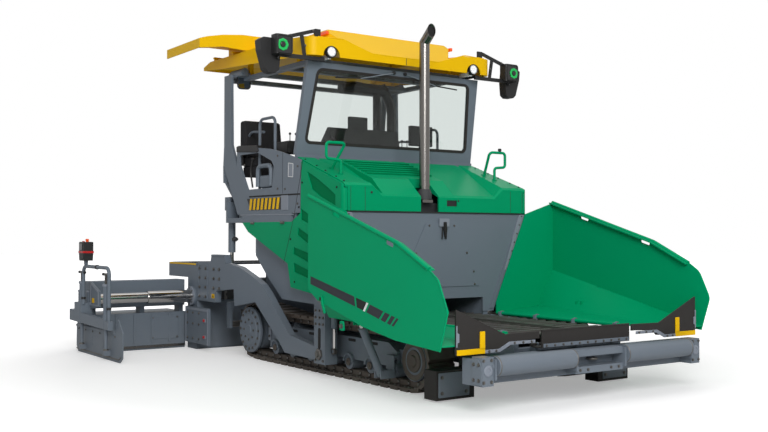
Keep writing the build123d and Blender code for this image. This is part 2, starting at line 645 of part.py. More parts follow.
with BuildPart() as roof:
    plate_xz(ROOF_SIDE, -ROOF_HALF, ROOF_HALF)
    # the front's middle lies lower than the two lobes beside it
    plate_yz(
        [(-865, 3652), (-480, BAND_Z), (480, BAND_Z), (865, 3652), (865, 3760), (-865, 3760)],
        CREST[0], ROOF_FRONT + 1, mode=Mode.SUBTRACT,
    )
    add(dome.part)
    inner_half, inner_front = ROOF_HALF - ROOF_SHEET, ROOF_FRONT - ROOF_SHEET
    # hollow underneath: behind, in the front's middle, in the two lobes and in the dome
    plate_xz(
        [
            (ROOF_REAR + ROOF_SHEET, 3400), (ROOF_REAR + ROOF_SHEET, 3638), (-2545, 3688),
            (-712, 3678), (-460, 3657), (-460, 3400),
        ],
        -inner_half, inner_half, mode=Mode.SUBTRACT,
    )
    block((-461, inner_front), (-LOBE_INNER, LOBE_INNER), (3400, BAND_Z - ROOF_SHEET), mode=Mode.SUBTRACT)
    plate_xz(
        [(-461, 3400), (-461, 3802), (-1496, 3797), (DOME_REAR + ROOF_SHEET, 3694), (DOME_REAR + ROOF_SHEET, 3400)],
        -840, 840, mode=Mode.SUBTRACT,
    )
    plate_xz([(-115, 3500), (-462, 3786), (-462, 3500)], -590, 590, mode=Mode.SUBTRACT)
    for side in (-1, 1):
        plate_xy(
            [
                (inner_front, side * (LOBE_INNER - 1)), (inner_front, side * (inner_half - 108)),
                (inner_front - 108, side * inner_half), (-461, side * inner_half), (-461, side * (LOBE_INNER - 1)),
            ],
            3400, 3622, mode=Mode.SUBTRACT,
        )
        round_upright_edge((ROOF_FRONT, side * ROOF_HALF), (-1, -side), 120, 3400, 3700)
        rod((ROOF_FRONT - 30, side * LAMP_Y, 3450), (ROOF_FRONT + 5, side * LAMP_Y, 3450), 108, mode=Mode.SUBTRACT)
        for x, top in ((-700, 3682), (-1900, 3692)):
            block((x, x + 60), sorted((side * 1045, side * 1095)), (ROOF_FRAME_Z[1], top))
        for x in AWNING_RAILS:
            block((x, x + 40), sorted((side * 590, side * 1290)), (3690, AWNING_Z - RUN))
keep(roof, "roof")

# a thin arched shell that slides sideways over the rear of the roof
AWNING_FRONT, AWNING_REAR = -1640, -2600
with BuildPart() as awning:
    plate_yz(
        [
            (-1000, 3722), (-1000, 3900), (-1300, 3900), (-1560, 3872), (-1760, 3832), (-1860, 3800), (-1860, 3690),
            (-1848, 3690), (-1848, 3790), (-1750, 3818), (-1560, 3858), (-1300, 3888), (-1012, 3888), (-1012, 3722),
        ],
        AWNING_REAR, AWNING_FRONT,
    )
    plate_yz(
        [
            (-1012, 3710), (-1012, 3888), (-1300, 3888), (-1560, 3858), (-1750, 3818), (-1848, 3790),
            (-1848, 3690), (-1560, 3730), (-1300, 3716),
        ],
        AWNING_FRONT - ROOF_SHEET, AWNING_FRONT,
    )
    for x in AWNING_RAILS:
        block((x, x + 40), (-1300, -1001), (AWNING_Z, AWNING_Z + 20))
keep_pair(awning, "awning")

# ---------------------------------------------------------------- operator's stations
with BuildPart() as seat:
    block((-1850, -1450), (-1120, -700), (PLATFORM_Z + PLATFORM_THICK, 1900))
    block((-1700, -1560), (-980, -840), (1900, 2200))
    block((-1880, -1380), (-1160, -660), (2200, 2320))
    plate_xz([(-1880, 2320), (-1960, 2880), (-1850, 2880), (-1760, 2320)], -1150, -670)
keep_both(seat, "seats")

with BuildPart() as console:
    block((-1150, -1000), (-150, 150), (PLATFORM_Z + PLATFORM_THICK, 2450))
    block((-1200, -900), (-1100, 1100), (2450, 2560))
    plate_xz([(-1200, 2560), (-900, 2560), (-960, 2780), (-1000, 2780)], -500, 500)
keep(console, "console")

with BuildPart() as handrail:
    rail_y, rail_top = -1190, 2862
    floor = PLATFORM_Z + PLATFORM_THICK
    bent_tube(
        [(-1400, rail_y, floor), (-1400, rail_y, rail_top), (-1025, rail_y, rail_top), (-1025, rail_y, floor)],
        80, 17,
    )
keep_both(handrail, "handrails")

# ---------------------------------------------------------------- lamps
FRAME_NOSE = -330  # front of the roof's frame
with BuildPart() as signal_lamp:
    block((-175, -60), (-1710, -1512), (3405, 3614))
    for y, turn in ((-1710, 1), (-1512, -1)):
        round_upright_edge((-60, y), (-1, turn), 28, 3400, 3620)
    # shell behind and below
    plate_yz(
        [
            (-1845, 3555), (-1800, 3585), (-1620, 3585), (-1600, 3400), (-1615, 3250), (-1660, 3215),
            (-1735, 3215), (-1775, 3250), (-1835, 3450),
        ],
        -290, -174,
    )
    # bracket of flat bars: lower bar with its arm to the roof's frame, upper bar on the roof, strut between
    block((-160, -130), (-1640, -1075), (3388, 3430))
    block((FRAME_NOSE + RUN, -131), (-1115, -1075), (3413, 3440))
    plate_yz(
        [(-1120, 3650), (-1185, 3650), (-1200, 3690), (-1560, 3580), (-1560, 3622), (-1185, 3735), (-1120, 3735)],
        -160, -140,
    )
    plate_yz([(-1372, 3640), (-1336, 3650), (-1298, 3420), (-1334, 3420)], -160, -140)
keep_both(signal_lamp, "signal_lamps")

with BuildPart() as work_light:
    rod((-135, -LAMP_Y, LAMP_Z), (ROOF_FRONT - 3, -LAMP_Y, LAMP_Z), 52)
    block((FRAME_NOSE + RUN, -134), (-LAMP_Y - 18, -LAMP_Y + 18), (3420, 3470))
keep_both(work_light, "work_lights")

# ---------------------------------------------------------------- hopper
WING_FRONT = 2690 - RUN
FLAP_THICK = 15


def wing_points(x):
    """Inside of the right wing at a distance along the machine: hinge edge, crease and outer edge."""
    share = (x - 600) / (2250 - 600)
    return [
        (-(WING_HINGE[0] + 35), WING_HINGE[1] + 4),
        (-(1440 - 140 * share), 675 - 70 * share),
        (-(WING_OUTER - WING_WALL + 1), 1080 - 390 * share),
    ]


WING_SIDE = [
    (WING_REAR, 1885), (2070, 1430), (2520, 1215), (2650, 1130), (2775, 870), (2670, 540), (2050, 580),
    (1530, 660), (740, 860), (WING_REAR, 960),
]
WING_CYLINDER_X = 1200
WING_EYE = (-1500, 680)  # y and z of the cylinder's upper eye
WING_CYLINDER_FOOT = (-(TRACK_OUTER + 128), 155)

with BuildPart() as wing:
    plate_xz(WING_SIDE, -WING_OUTER, -WING_OUTER + WING_WALL)
    near, far = wing_points(WING_REAR), wing_points(WING_FRONT)
    creased_sheet([(WING_REAR, near), (WING_FRONT, far)], 10)
    plate_yz(
        [
            (near[0][0] - 4, near[0][1] - 5), (near[0][0] - 4, 740), (-1240, 1742), (-WING_OUTER + 3, 1880),
            (-WING_OUTER + 3, near[2][1] - 5), (near[1][0], near[1][1] - 5),
        ],
        WING_REAR, WING_REAR + WING_WALL,
    )
    # turned-in flange along the top and two lifting holes under it
    plate_xz(
        [(WING_REAR, 1884), (2070, 1429), (2520, 1214), (2520, 1201), (2070, 1415), (WING_REAR, 1869)],
        -WING_OUTER + 2, -WING_OUTER + 64,
    )
    for x, z in ((1080, 1690), (1960, 1424)):
        with BuildSketch(Plane.XZ.offset(WING_OUTER + 1)) as hole:
            with Locations((x, z)):
                RectangleRounded(130, 46, 22, rotation=-17)
        extrude(hole.sketch, amount=-WING_WALL - 2, mode=Mode.SUBTRACT)
    lip = -WING_OUTER + 6
    rod((WING_REAR, lip, 1885), (2070, lip, 1430), 20)
    rod((2070, lip, 1430), (2520, lip, 1215), 20)
    hinge_y, hinge_z = WING_HINGE
    rod((640, -hinge_y, hinge_z), (2440, -hinge_y, hinge_z), 20)
    for x_from, x_to in ((650, 690), (730, 1250), (1290, 1810), (1850, 2370), (2410, 2440)):
        block((x_from, x_to), (-(hinge_y + 60), -hinge_y), (hinge_z - 12, hinge_z + 1))
    # ears that take the cylinder's upper eye
    eye_y, eye_z = WING_EYE
    for side in (-1, 1):
        inner_x = WING_CYLINDER_X + side * 30
        block(sorted((inner_x, inner_x + side * 14)), (eye_y - 45, eye_y + 45), (eye_z - 40, 758))
keep_pair(wing, "wing")

with BuildPart() as wing_flap:
    plate_yz(
        [
            (-600, 655), (-1000, 650), (-1547, 884), (-1547, 500), (-960, 533), (-910, 578), (-650, 593),
            (-600, 593),
        ],
        WING_FRONT + RUN, WING_FRONT + RUN + FLAP_THICK,
    )
keep_pair(wing_flap, "wing_flap")


def cylinder_pair(foot, eye, foot_gap, reach, barrel_r, rod_r, rod_inside, width):
    """Barrel and rod of a ram between two eyes; returns both builders."""
    along = Vector(*eye) - Vector(*foot)
    unit = along.normalized()
    sideways = Vector(*width)
    start = Vector(*foot)
    with BuildPart() as barrel:
        rod(tuple(start + unit * foot_gap), tuple(start + unit * reach), barrel_r)
        rod(tuple(start - sideways), tuple(start + sideways), barrel_r * 0.9)
        rod(tuple(start + unit * (foot_gap + 20)), tuple(start + unit * (reach + 1)), rod_r + 0.5, mode=Mode.SUBTRACT)
        rod(tuple(start - sideways * 3), tuple(start + sideways * 3), 22.4, mode=Mode.SUBTRACT)
    with BuildPart() as plunger:
        rod(tuple(start + unit * rod_inside), tuple(Vector(*eye) - unit * 12), rod_r)
        rod(tuple(Vector(*eye) - sideways), tuple(Vector(*eye) + sideways), barrel_r * 0.8)
    return barrel, plunger


wing_barrel, wing_rod = cylinder_pair(
    (WING_CYLINDER_X, *WING_CYLINDER_FOOT), (WING_CYLINDER_X, *WING_EYE), 20, 505, 38, 22, 60, (24, 0, 0)
)
keep_pair(wing_barrel, "wing_cylinder_barrel")
keep_pair(wing_rod, "wing_cylinder_rod")

with BuildPart() as apron:
    block((WING_FRONT + RUN, WING_FRONT + RUN + FLAP_THICK), (-570, 570), (500, 665))
    block((APRON_HINGE[0], WING_FRONT + RUN + 1), (-570, 570), (500, 512))
    rod((APRON_HINGE[0], -570, APRON_HINGE[1]), (APRON_HINGE[0], 570, APRON_HINGE[1]), 14)
    for y in APRON_LUGS:
        block((APRON_HINGE[0] - 24, APRON_HINGE[0] + 24), (y - 6, y + 26), (490, 550), mode=Mode.SUBTRACT)
        rod((APRON_HINGE[0], y - 6, APRON_HINGE[1]), (APRON_HINGE[0], y + 26, APRON_HINGE[1]), 10)
keep(apron, "apron")

# ---------------------------------------------------------------- push beam
ROLLER_INNER, ROLLER_OUTER = 331, 1250
with BuildPart() as push_beam:
    block((2610, 2735), (-1400, 1400), (250, 470))
    block((PUSH_PIVOT_X - 30, 2612), (-60, 60), (PUSH_Z - 30, PUSH_Z + 30))
    rod((PUSH_PIVOT_X, 0, PUSH_Z - 68), (PUSH_PIVOT_X, 0, PUSH_Z + 68), 25)
    for side in (-1, 1):
        for y in (ROLLER_INNER - 26, ROLLER_OUTER + 6):
            block((2734, ROLLER_X + 50), sorted((side * y, side * (y + 20))), (300, 470))
        block((2734, ROLLER_X + 30), sorted((side * (ROLLER_OUTER + 25), side * 1400)), (250, 490))
        for y in (ROLLER_INNER - 26, ROLLER_OUTER + 6):
            rod((ROLLER_X, side * y, ROLLER_Z), (ROLLER_X, side * (y + 20), ROLLER_Z), 20.3, mode=Mode.SUBTRACT)
    block((2734, ROLLER_X + 20), (-ROLLER_INNER + 24, ROLLER_INNER - 24), (270, 330))
    block((2734, ROLLER_X + 20), (-ROLLER_INNER + 24, ROLLER_INNER - 24), (420, 480))
keep(push_beam, "push_beam")

with BuildPart() as push_roller:
    rod((ROLLER_X, -ROLLER_OUTER, ROLLER_Z), (ROLLER_X, -ROLLER_INNER, ROLLER_Z), ROLLER_R)
    rod((ROLLER_X, -ROLLER_OUTER - 24, ROLLER_Z), (ROLLER_X, -ROLLER_INNER + 24, ROLLER_Z), 20)
keep_pair(push_roller, "push_roller")

with BuildPart() as track_guard:
    block((1900, 2080), (-1260, -820), (15, 280))
    block((1880, 2100), (-840, -CHASSIS_HALF), (240, 400))
keep_both(track_guard, "track_guards")

# ---------------------------------------------------------------- towing
GUIDE_OUTER, GUIDE_INNER = SIDE_Y + 25, ARM_INNER - 47
with BuildPart() as tow_guide:
    guide_x = (34, 254)
    for y in ((-GUIDE_OUTER, -GUIDE_OUTER + 17), (-GUIDE_INNER - 17, -GUIDE_INNER)):
        block(guide_x, y, (142, 735))
    block((238, 254), (-GUIDE_OUTER, -GUIDE_INNER), (142, 735))
    block(guide_x, (-GUIDE_OUTER, -BOX_OUTER - RUN), (720, 839))
    rod((TOW_POINT[0], -GUIDE_OUTER, TOW_POINT[1]), (TOW_POINT[0], -GUIDE_INNER, TOW_POINT[1]), 28)
    rod((TOW_POINT[0], -ARM_INNER - 30, 340), (TOW_POINT[0], -ARM_INNER - 30, 730), 22)
keep_both(tow_guide, "tow_guides")

FOOT_Y, FOOT_Z = WING_CYLINDER_FOOT
with BuildPart() as wing_cylinder_foot:
    for side in (-1, 1):
        inner_x = WING_CYLINDER_X + side * 43
        block(sorted((inner_x, inner_x + side * 14)), (FOOT_Y - 40, -TRACK_OUTER - 20), (FOOT_Z - 40, FOOT_Z + 40))
    rod((WING_CYLINDER_X - 57, FOOT_Y, FOOT_Z), (WING_CYLINDER_X + 57, FOOT_Y, FOOT_Z), 22)
    block((WING_CYLINDER_X - 60, WING_CYLINDER_X + 60), (-TRACK_OUTER - 20, -TRACK_OUTER - 8), (FOOT_Z - 40, 330))
    block((WING_CYLINDER_X - 60, WING_CYLINDER_X + 60), (-TRACK_OUTER - 20, -FRAME_OUTER - RUN), (300, 330))
keep_both(wing_cylinder_foot, "wing_cylinder_feet")

ARM_OUTLINE = [
    (SCREED_FRONT + RUN, 1150), (-2560, 1150), (-2530, 1245), (-2155, 1245), (-2115, 1145), (-1760, 1106), (-1349, 981),
    (-1192, 920), (-1065, 833), (-533, 389), (-17, 317), (TOW_POINT[0], TOW_POINT[1] + 72),
    (TOW_POINT[0], TOW_POINT[1] - 72), (11, 172), (-641, 185), (-751, 281), (-1347, 707), (-1880, 627),
    (-1907, 833), (-2395, 786), (-2420, 640), (SCREED_FRONT + RUN, 640),
]
with BuildPart() as tow_arm:
    plate_xz(ARM_OUTLINE, -SIDE_Y, -ARM_INNER)
    rod((TOW_POINT[0], -SIDE_Y, TOW_POINT[1]), (TOW_POINT[0], -ARM_INNER, TOW_POINT[1]), 72)
    rod(
        (TOW_POINT[0], -SIDE_Y - 1, TOW_POINT[1]), (TOW_POINT[0], -ARM_INNER + 1, TOW_POINT[1]), 28.3,
        mode=Mode.SUBTRACT,
    )
    rod((LIFT_EYE[0], -ARM_INNER - 1, LIFT_EYE[1]), (LIFT_EYE[0], -LIFT_Y - LIFT_ROD_R - GAP, LIFT_EYE[1]), 42)
keep_both(tow_arm, "tow_arms")

lift_barrel, lift_rod = cylinder_pair(
    (LIFT_TOP[0], -LIFT_Y, LIFT_TOP[1]), (LIFT_EYE[0], -LIFT_Y, LIFT_EYE[1]), 30, 655, 45, LIFT_ROD_R, 375, (0, 19, 0)
)
keep_pair(lift_barrel, "lift_cylinder_barrel")
keep_pair(lift_rod, "lift_cylinder_rod")

# ---------------------------------------------------------------- auger

with BuildPart() as auger:
    rod((AUGER_X, -AUGER_END + RUN, AUGER_Z), (AUGER_X, -GEARBOX_HALF - RUN, AUGER_Z), AUGER_SHAFT_R)
    blades_per_turn, pitch = 6, 360
    blade_count = int((AUGER_END - GEARBOX_HALF - 130) / (pitch / blades_per_turn))
    for k in range(blade_count):
        angle = math.radians(k * 360 / blades_per_turn)
        y = -GEARBOX_HALF - 70 - k * pitch / blades_per_turn
        radial = Vector(math.cos(angle), 0, math.sin(angle))
        around = Vector(-math.sin(angle), 0, math.cos(angle))
        tilt = math.radians(25)
        normal = Vector(0, 1, 0) * math.cos(tilt) + around * math.sin(tilt)
        with BuildSketch(Plane(origin=(AUGER_X, y, AUGER_Z), x_dir=radial, z_dir=normal)) as blade:
            with BuildLine():
                reach, half = 0.88 * AUGER_R, 0.47 * AUGER_R
                Polyline((20, -20), (reach, -half), (reach, half), (20, 20), close=True)
            make_face()
        extrude(blade.sketch, amount=10)
keep_pair(auger, "auger")

# ---------------------------------------------------------------- screed
with BuildPart() as screed_body:
    plate_xz(
        [
            (SCREED_FRONT, 30), (SCREED_FRONT - 20, 0), (SCREED_REAR, 0), (SCREED_REAR, 900), (SCREED_FRONT - 30, 900),
            (SCREED_FRONT, 560),
        ],
        -SCREED_HALF, SCREED_HALF,
    )
    for side in (-1, 1):
        rod((TUBE_X, side * 25, TUBE_Z), (TUBE_X, side * (SCREED_HALF + 1), TUBE_Z), TUBE_R + RUN, mode=Mode.SUBTRACT)
        plate_xz(
            [
                (SCREED_FRONT, 560), (SCREED_FRONT, WALKWAY_Z - 25), (-3880, WALKWAY_Z - 25), (-3880, 930),
                (SCREED_REAR, 930), (SCREED_REAR, 560),
            ],
            side * (SCREED_HALF - 40), side * SCREED_HALF,
        )
        rod((TUBE_X, side * (SCREED_HALF - 60), TUBE_Z), (TUBE_X, side * (SCREED_HALF + 25), TUBE_Z), 125)
        rod(
            (TUBE_X, side * (SCREED_HALF - 61), TUBE_Z), (TUBE_X, side * (SCREED_HALF + 26), TUBE_Z), TUBE_R + RUN,
            mode=Mode.SUBTRACT,
        )
    for side in (-1, 1):
        # limiting plates beside the auger
        block((-3200, -2500), sorted((side * EXT_INNER, side * (EXT_INNER + 30))), (90, 555))
        block((-3190, SCREED_FRONT - 20), sorted((side * (SCREED_HALF - 1), side * (EXT_INNER + 1))), (120, 520))
keep(screed_body, "screed_body")

with BuildPart() as walkway:
    block((-3880, -2990), (-SCREED_HALF, SCREED_HALF), (WALKWAY_Z - 25 + RUN, WALKWAY_Z))
keep(walkway, "walkway")

GATE_BACK = -3700
GATE_RODS_X = (-2480, -3350)
with BuildPart() as extension:
    plate_xz(
        [(EXT_FRONT, 30), (EXT_FRONT - 20, 0), (EXT_REAR + 20, 0), (EXT_REAR, 60), (EXT_REAR, 480), (EXT_FRONT, 480)],
        -EXT_OUTER, -EXT_INNER,
    )
    block((-3560, -3300), (-EXT_OUTER, -EXT_INNER), (560, 900))
    for y in (-EXT_OUTER, -1900, -EXT_INNER - 60):
        block((-3500, -3350), (y, y + 60), (479, 561))
    plate_xz(
        [(-2990, 600), (-2990, 790), (-3300, 900), (-3560, 900), (-3560, 400), (-3300, 400), (-3300, 560)],
        -EXT_OUTER - 25, -EXT_OUTER,
    )
    # frame at the outer end: rail, sleeves for the gate's rods and the tube guard
    rail_y = (GATE_ROD_Y - 30, GATE_ROD_Y + 30)
    plate_xz([(-3750, 400), (-3750, 540), (-2330, 470), (-2330, 370)], *rail_y)
    block((-3560, -3300), (rail_y[0], -EXT_OUTER - 24), (500, 640))
    for x in GATE_RODS_X:
        rod((x, GATE_ROD_Y, 380), (x, GATE_ROD_Y, 900), 34)
        rod((x, GATE_ROD_Y, 300), (x, GATE_ROD_Y, 880), 20.5, mode=Mode.SUBTRACT)
    bent_tube(
        [(-2380, GATE_ROD_Y, 420), (-2380, GATE_ROD_Y, 1100), (-3300, GATE_ROD_Y, 1100), (-3300, GATE_ROD_Y, 620)], 90, 22
    )
    for x in (-3380, -3700):
        rod((x, -EXT_OUTER - 12, 479), (x, -EXT_OUTER - 12, 760), 36)
keep_pair(extension, "extension")

# the tube that carries the extension: a thick half that runs in the body and a thinner one outside it
TUBE_STEP_Y = -1905
with BuildPart() as extension_tube:
    rod((TUBE_X, TUBE_STEP_Y, TUBE_Z), (TUBE_X, -SCREED_HALF + 35, TUBE_Z), TUBE_R)
    rod((TUBE_X, -EXT_OUTER + RUN, TUBE_Z), (TUBE_X, TUBE_STEP_Y, TUBE_Z), TUBE_R - 14)
keep_pair(extension_tube, "extension_tube")

with BuildPart() as end_gate:
    plate_xz(
        [
            (GATE_BACK, 70), (GATE_BACK + 70, 0), (-2150, 0), (-2060, 60), (-2050, 350), (-2200, 500),
            (-2290, 350), (GATE_BACK, 350),
        ],
        -GATE_OUTER, -GATE_INNER,
    )
    for x in GATE_RODS_X:
        block((x - 30, x + 30), (GATE_ROD_Y - 30, -GATE_OUTER + 1), (60, 120))
        rod((x, GATE_ROD_Y, 60), (x, GATE_ROD_Y, 740), 20)
keep_pair(end_gate, "end_gate")

with BuildPart() as screed_console:
    block((-3290, -3130), (GATE_ROD_Y - 60, GATE_ROD_Y + 60), (1170, 1400))
    block((-3225, -3195), (GATE_ROD_Y - 15, GATE_ROD_Y + 15), (1122 + RUN, 1171))
keep_pair(screed_console, "screed_console")
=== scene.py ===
"""Looks of a tracked asphalt paver: finishes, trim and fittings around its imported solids.

Frame: +X is the direction of travel, +Y the machine's left, +Z up, metres, origin on the ground.
"""

from __future__ import annotations

import json
import logging
import math
from contextlib import contextmanager
from dataclasses import dataclass
from enum import Enum
from typing import Iterable, Iterator, Sequence

import bpy
from mathutils import Matrix, Vector


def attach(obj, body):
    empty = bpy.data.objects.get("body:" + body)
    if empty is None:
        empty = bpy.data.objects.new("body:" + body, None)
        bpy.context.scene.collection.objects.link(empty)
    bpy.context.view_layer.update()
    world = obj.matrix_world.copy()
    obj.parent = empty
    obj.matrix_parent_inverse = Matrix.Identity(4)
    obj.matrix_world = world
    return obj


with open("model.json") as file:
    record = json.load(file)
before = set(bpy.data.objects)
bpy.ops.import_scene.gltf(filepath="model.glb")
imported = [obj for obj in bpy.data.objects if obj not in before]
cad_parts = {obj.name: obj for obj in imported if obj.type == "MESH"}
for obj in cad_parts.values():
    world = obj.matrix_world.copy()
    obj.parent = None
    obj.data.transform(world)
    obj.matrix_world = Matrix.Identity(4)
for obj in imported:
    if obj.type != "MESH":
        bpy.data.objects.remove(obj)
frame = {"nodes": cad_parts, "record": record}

log = logging.getLogger("paver")
Point = tuple[float, float, float]
Flat = tuple[float, float]
Colour = tuple[float, float, float]

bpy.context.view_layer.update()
MID = 0.4795  # from the middle of the tracks' contact with the ground to the origin
TOW_PIN = (144, 245)  # X and Z of the pin that each tow arm hangs on, in millimetres


class Side(Enum):
    """Side of the machine, by the sign of Y."""

    RIGHT = -1
    LEFT = 1

    @property
    def tag(self) -> str:
        """Ending of a piece's or node's name on this side."""
        return "right" if self is Side.RIGHT else "left"


def at(x: float, y: float, z: float) -> Vector:
    """Turn a place in millimetres from the middle of the tracks into the model's metres."""
    return Vector((x / 1000 + MID, y / 1000, z / 1000))


@dataclass(frozen=True)
class Plane:
    """Plane of an outline: origin in millimetres, directions of u and v, and w to raise along."""

    origin: Point
    u: Point
    v: Point
    w: Point

    def at(self, u: float, v: float, w: float = 0.0) -> Vector:
        """Place in metres of a point given along this plane's directions."""
        axes = zip(self.origin, self.u, self.v, self.w)
        return at(*(start + a * u + b * v + c * w for start, a, b, c in axes))


SIDE = Plane((0, 0, 0), (1, 0, 0), (0, 0, 1), (0, 1, 0))
END = Plane((0, 0, 0), (0, 1, 0), (0, 0, 1), (1, 0, 0))
TOP = Plane((0, 0, 0), (1, 0, 0), (0, 1, 0), (0, 0, 1))
AHEAD, UP, DOWN = (1, 0, 0), (0, 0, 1), (0, 0, -1)
OUT = (0, -1, 0)  # away from the machine on its right-hand side


def srgb(red: int, green: int, blue: int) -> Colour:
    """Linear colour of an 8-bit display colour.

    Args:
        red, green, blue: display values from 0 to 255.
    Returns:
        The three linear values.
    """
    return tuple(((c / 255 + 0.055) / 1.055) ** 2.4 if c > 10 else c / 3294.6 for c in (red, green, blue))


def rect(u0: float, v0: float, u1: float, v1: float) -> list[Flat]:
    """Corners of a rectangle, given two that face each other."""
    return [(u0, v0), (u1, v0), (u1, v1), (u0, v1)]


def circle(count: int, radius: float, tall: float | None = None) -> list[Flat]:
    """Points round the origin.

    Args:
        count: how many.
        radius: of the circle, or half the width of an oval.
        tall: half the height of an oval, None for a circle.
    Returns:
        The points, from the right on.
    """
    turns = [k * math.tau / count for k in range(count)]
    return [(radius * math.cos(turn), (tall or radius) * math.sin(turn)) for turn in turns]


def arc(centre: Flat, radius: float, angles: Iterable[float]) -> list[Flat]:
    """Points round a centre at angles in degrees."""
    turns = [math.radians(angle) for angle in angles]
    return [(centre[0] + radius * math.cos(turn), centre[1] + radius * math.sin(turn)) for turn in turns]


def grid(xs: Iterable[float], ys: Iterable[float], zs: Iterable[float]) -> list[Point]:
    """Places at every combination of some X, Y and Z."""
    return [(x, y, z) for x in xs for y in ys for z in zs]


# ------------------------------------------------------------------ shader groups
class Nodes:
    """Short way to add nodes to one tree and fill their inputs."""

    def __init__(self, tree: bpy.types.NodeTree) -> None:
        """Keep the tree.

        Args:
            tree: a material's tree or a group's.
        """
        self.tree = tree

    def add(self, kind: str, **settings: object) -> bpy.types.Node:
        """Add a node.

        Args:
            kind: the node's type, without its "ShaderNode" start.
            settings: properties to set on it.
        Returns:
            The node.
        """
        node = self.tree.nodes.new(f"ShaderNode{kind}")
        for name, value in settings.items():
            setattr(node, name, value)
        return node

    def feed(self, target: bpy.types.NodeSocket, value: object) -> None:
        """Link a socket to an input, or set the input to a value.

        Args:
            target: a node's input.
            value: socket, number or linear colour.
        """
        if isinstance(value, bpy.types.NodeSocket):
            self.tree.links.new(value, target)
        elif isinstance(value, tuple):
            target.default_value = (*value, 1.0)
        else:
            target.default_value = value

    def fill(self, node: bpy.types.Node, **values: object) -> None:
        """Feed a node's inputs by their names, with _ for each space."""
        for name, value in values.items():
            self.feed(node.inputs[name.replace("_", " ")], value)

    def mix(self, factor: object, first: object, second: object) -> bpy.types.NodeSocket:
        """Mix two colours.

        Args:
            factor: socket or number from 0 to 1.
            first, second: sockets or linear colours.
        Returns:
            The mixed colour's socket.
        """
        node = self.add("Mix", data_type="RGBA")
        for index, value in ((0, factor), (6, first), (7, second)):
            self.feed(node.inputs[index], value)
        return node.outputs[2]

    def math(
        self, operation: str, first: object, second: object, clamp: bool = False
    ) -> bpy.types.NodeSocket:
        """Work out a value from two others.

        Args:
            operation: the Math node's operation.
            first, second: sockets or numbers.
            clamp: keep the result between 0 and 1.
        Returns:
            The result's socket.
        """
        node = self.add("Math", operation=operation, use_clamp=clamp)
        for target, value in zip(node.inputs, (first, second)):
            self.feed(target, value)
        return node.outputs[0]


def new_group(
    name: str, inputs: dict[str, float | None], outputs: dict[str, str]
) -> tuple[Nodes, bpy.types.Node, bpy.types.Node]:
    """Start a shader group with its sockets.

    Args:
        name: the group's name.
        inputs: each number that it takes with its default, or None for a colour.
        outputs: kind of each output.
    Returns:
        The group's nodes, its input node and its output node.
    """
    tree = bpy.data.node_groups.new(name, "ShaderNodeTree")
    for label, value in inputs.items():
        kind = "Color" if value is None else "Float"
        socket = tree.interface.new_socket(name=label, in_out="INPUT", socket_type=f"NodeSocket{kind}")
        if value is not None:
            socket.default_value = value
    for label, kind in outputs.items():
        tree.interface.new_socket(name=label, in_out="OUTPUT", socket_type=f"NodeSocket{kind}")
    return Nodes(tree), tree.nodes.new("NodeGroupInput"), tree.nodes.new("NodeGroupOutput")


def sheen_group() -> bpy.types.NodeTree:
    """Slow change of tint and gloss over a sprayed or moulded surface.

    Returns:
        Group from Colour, Roughness, Size and Amount to Colour and Roughness.
    """
    inputs = {"Colour": None, "Roughness": 0.4, "Size": 2.0, "Amount": 0.1}
    nodes, given, out = new_group("surface_change", inputs, {"Colour": "Color", "Roughness": "Float"})
    spot, cloud, tint = nodes.add("TexCoord"), nodes.add("TexNoise"), nodes.add("HueSaturation")
    nodes.fill(cloud, Vector=spot.outputs["Object"], Scale=given.outputs["Size"], Detail=4.0)
    centred = nodes.math("SUBTRACT", cloud.outputs["Fac"], 0.5)
    swing = nodes.math("MULTIPLY", centred, given.outputs["Amount"])
    nodes.fill(tint, Color=given.outputs["Colour"], Value=nodes.math("ADD", swing, 1.0))
    gloss = nodes.math("ADD", given.outputs["Roughness"], swing, clamp=True)
    nodes.fill(out, Colour=tint.outputs["Color"], Roughness=gloss)
    return nodes.tree


def dust_group() -> bpy.types.NodeTree:
    """Dust that gathers low on the machine and on faces that look up.

    Returns:
        Group from Amount and Height to Mask.
    """
    nodes, given, out = new_group("road_dust", {"Amount": 0.2, "Height": 0.8}, {"Mask": "Float"})
    spot, shape, grain = nodes.add("TexCoord"), nodes.add("NewGeometry"), nodes.add("TexNoise")
    split, lean = nodes.add("SeparateXYZ"), nodes.add("SeparateXYZ")
    nodes.fill(split, Vector=spot.outputs["Object"])
    nodes.fill(lean, Vector=shape.outputs["Normal"])
    nodes.fill(grain, Vector=spot.outputs["Object"], Scale=9.0, Detail=6.0)
    level = nodes.math("DIVIDE", split.outputs["Z"], given.outputs["Height"])
    low = nodes.math("SUBTRACT", 1.0, level, clamp=True)
    up = nodes.math("MULTIPLY", nodes.math("MAXIMUM", lean.outputs["Z"], 0.0), 0.35)
    cover = nodes.math("MULTIPLY", nodes.math("ADD", low, up), grain.outputs["Fac"])
    nodes.fill(out, Mask=nodes.math("MULTIPLY", cover, given.outputs["Amount"], clamp=True))
    return nodes.tree


def grain_group() -> bpy.types.NodeTree:
    """Fine bumps of paint, casting or moulded plastic.

    Returns:
        Group from Size, Depth and Strength to Normal.
    """
    inputs = {"Size": 120.0, "Depth": 0.001, "Strength": 0.2}
    nodes, given, out = new_group("fine_grain", inputs, {"Normal": "Vector"})
    spot, noise, bump = nodes.add("TexCoord"), nodes.add("TexNoise"), nodes.add("Bump")
    nodes.fill(noise, Vector=spot.outputs["Object"], Scale=given.outputs["Size"], Detail=2.0)
    depth, strength = given.outputs["Depth"], given.outputs["Strength"]
    nodes.fill(bump, Height=noise.outputs["Fac"], Distance=depth, Strength=strength)
    nodes.fill(out, Normal=bump.outputs["Normal"])
    return nodes.tree


SURFACE, DUST, GRAIN = sheen_group(), dust_group(), grain_group()
DUST_COLOUR = srgb(150, 146, 138)
COAT_ROUGHNESS = 0.12


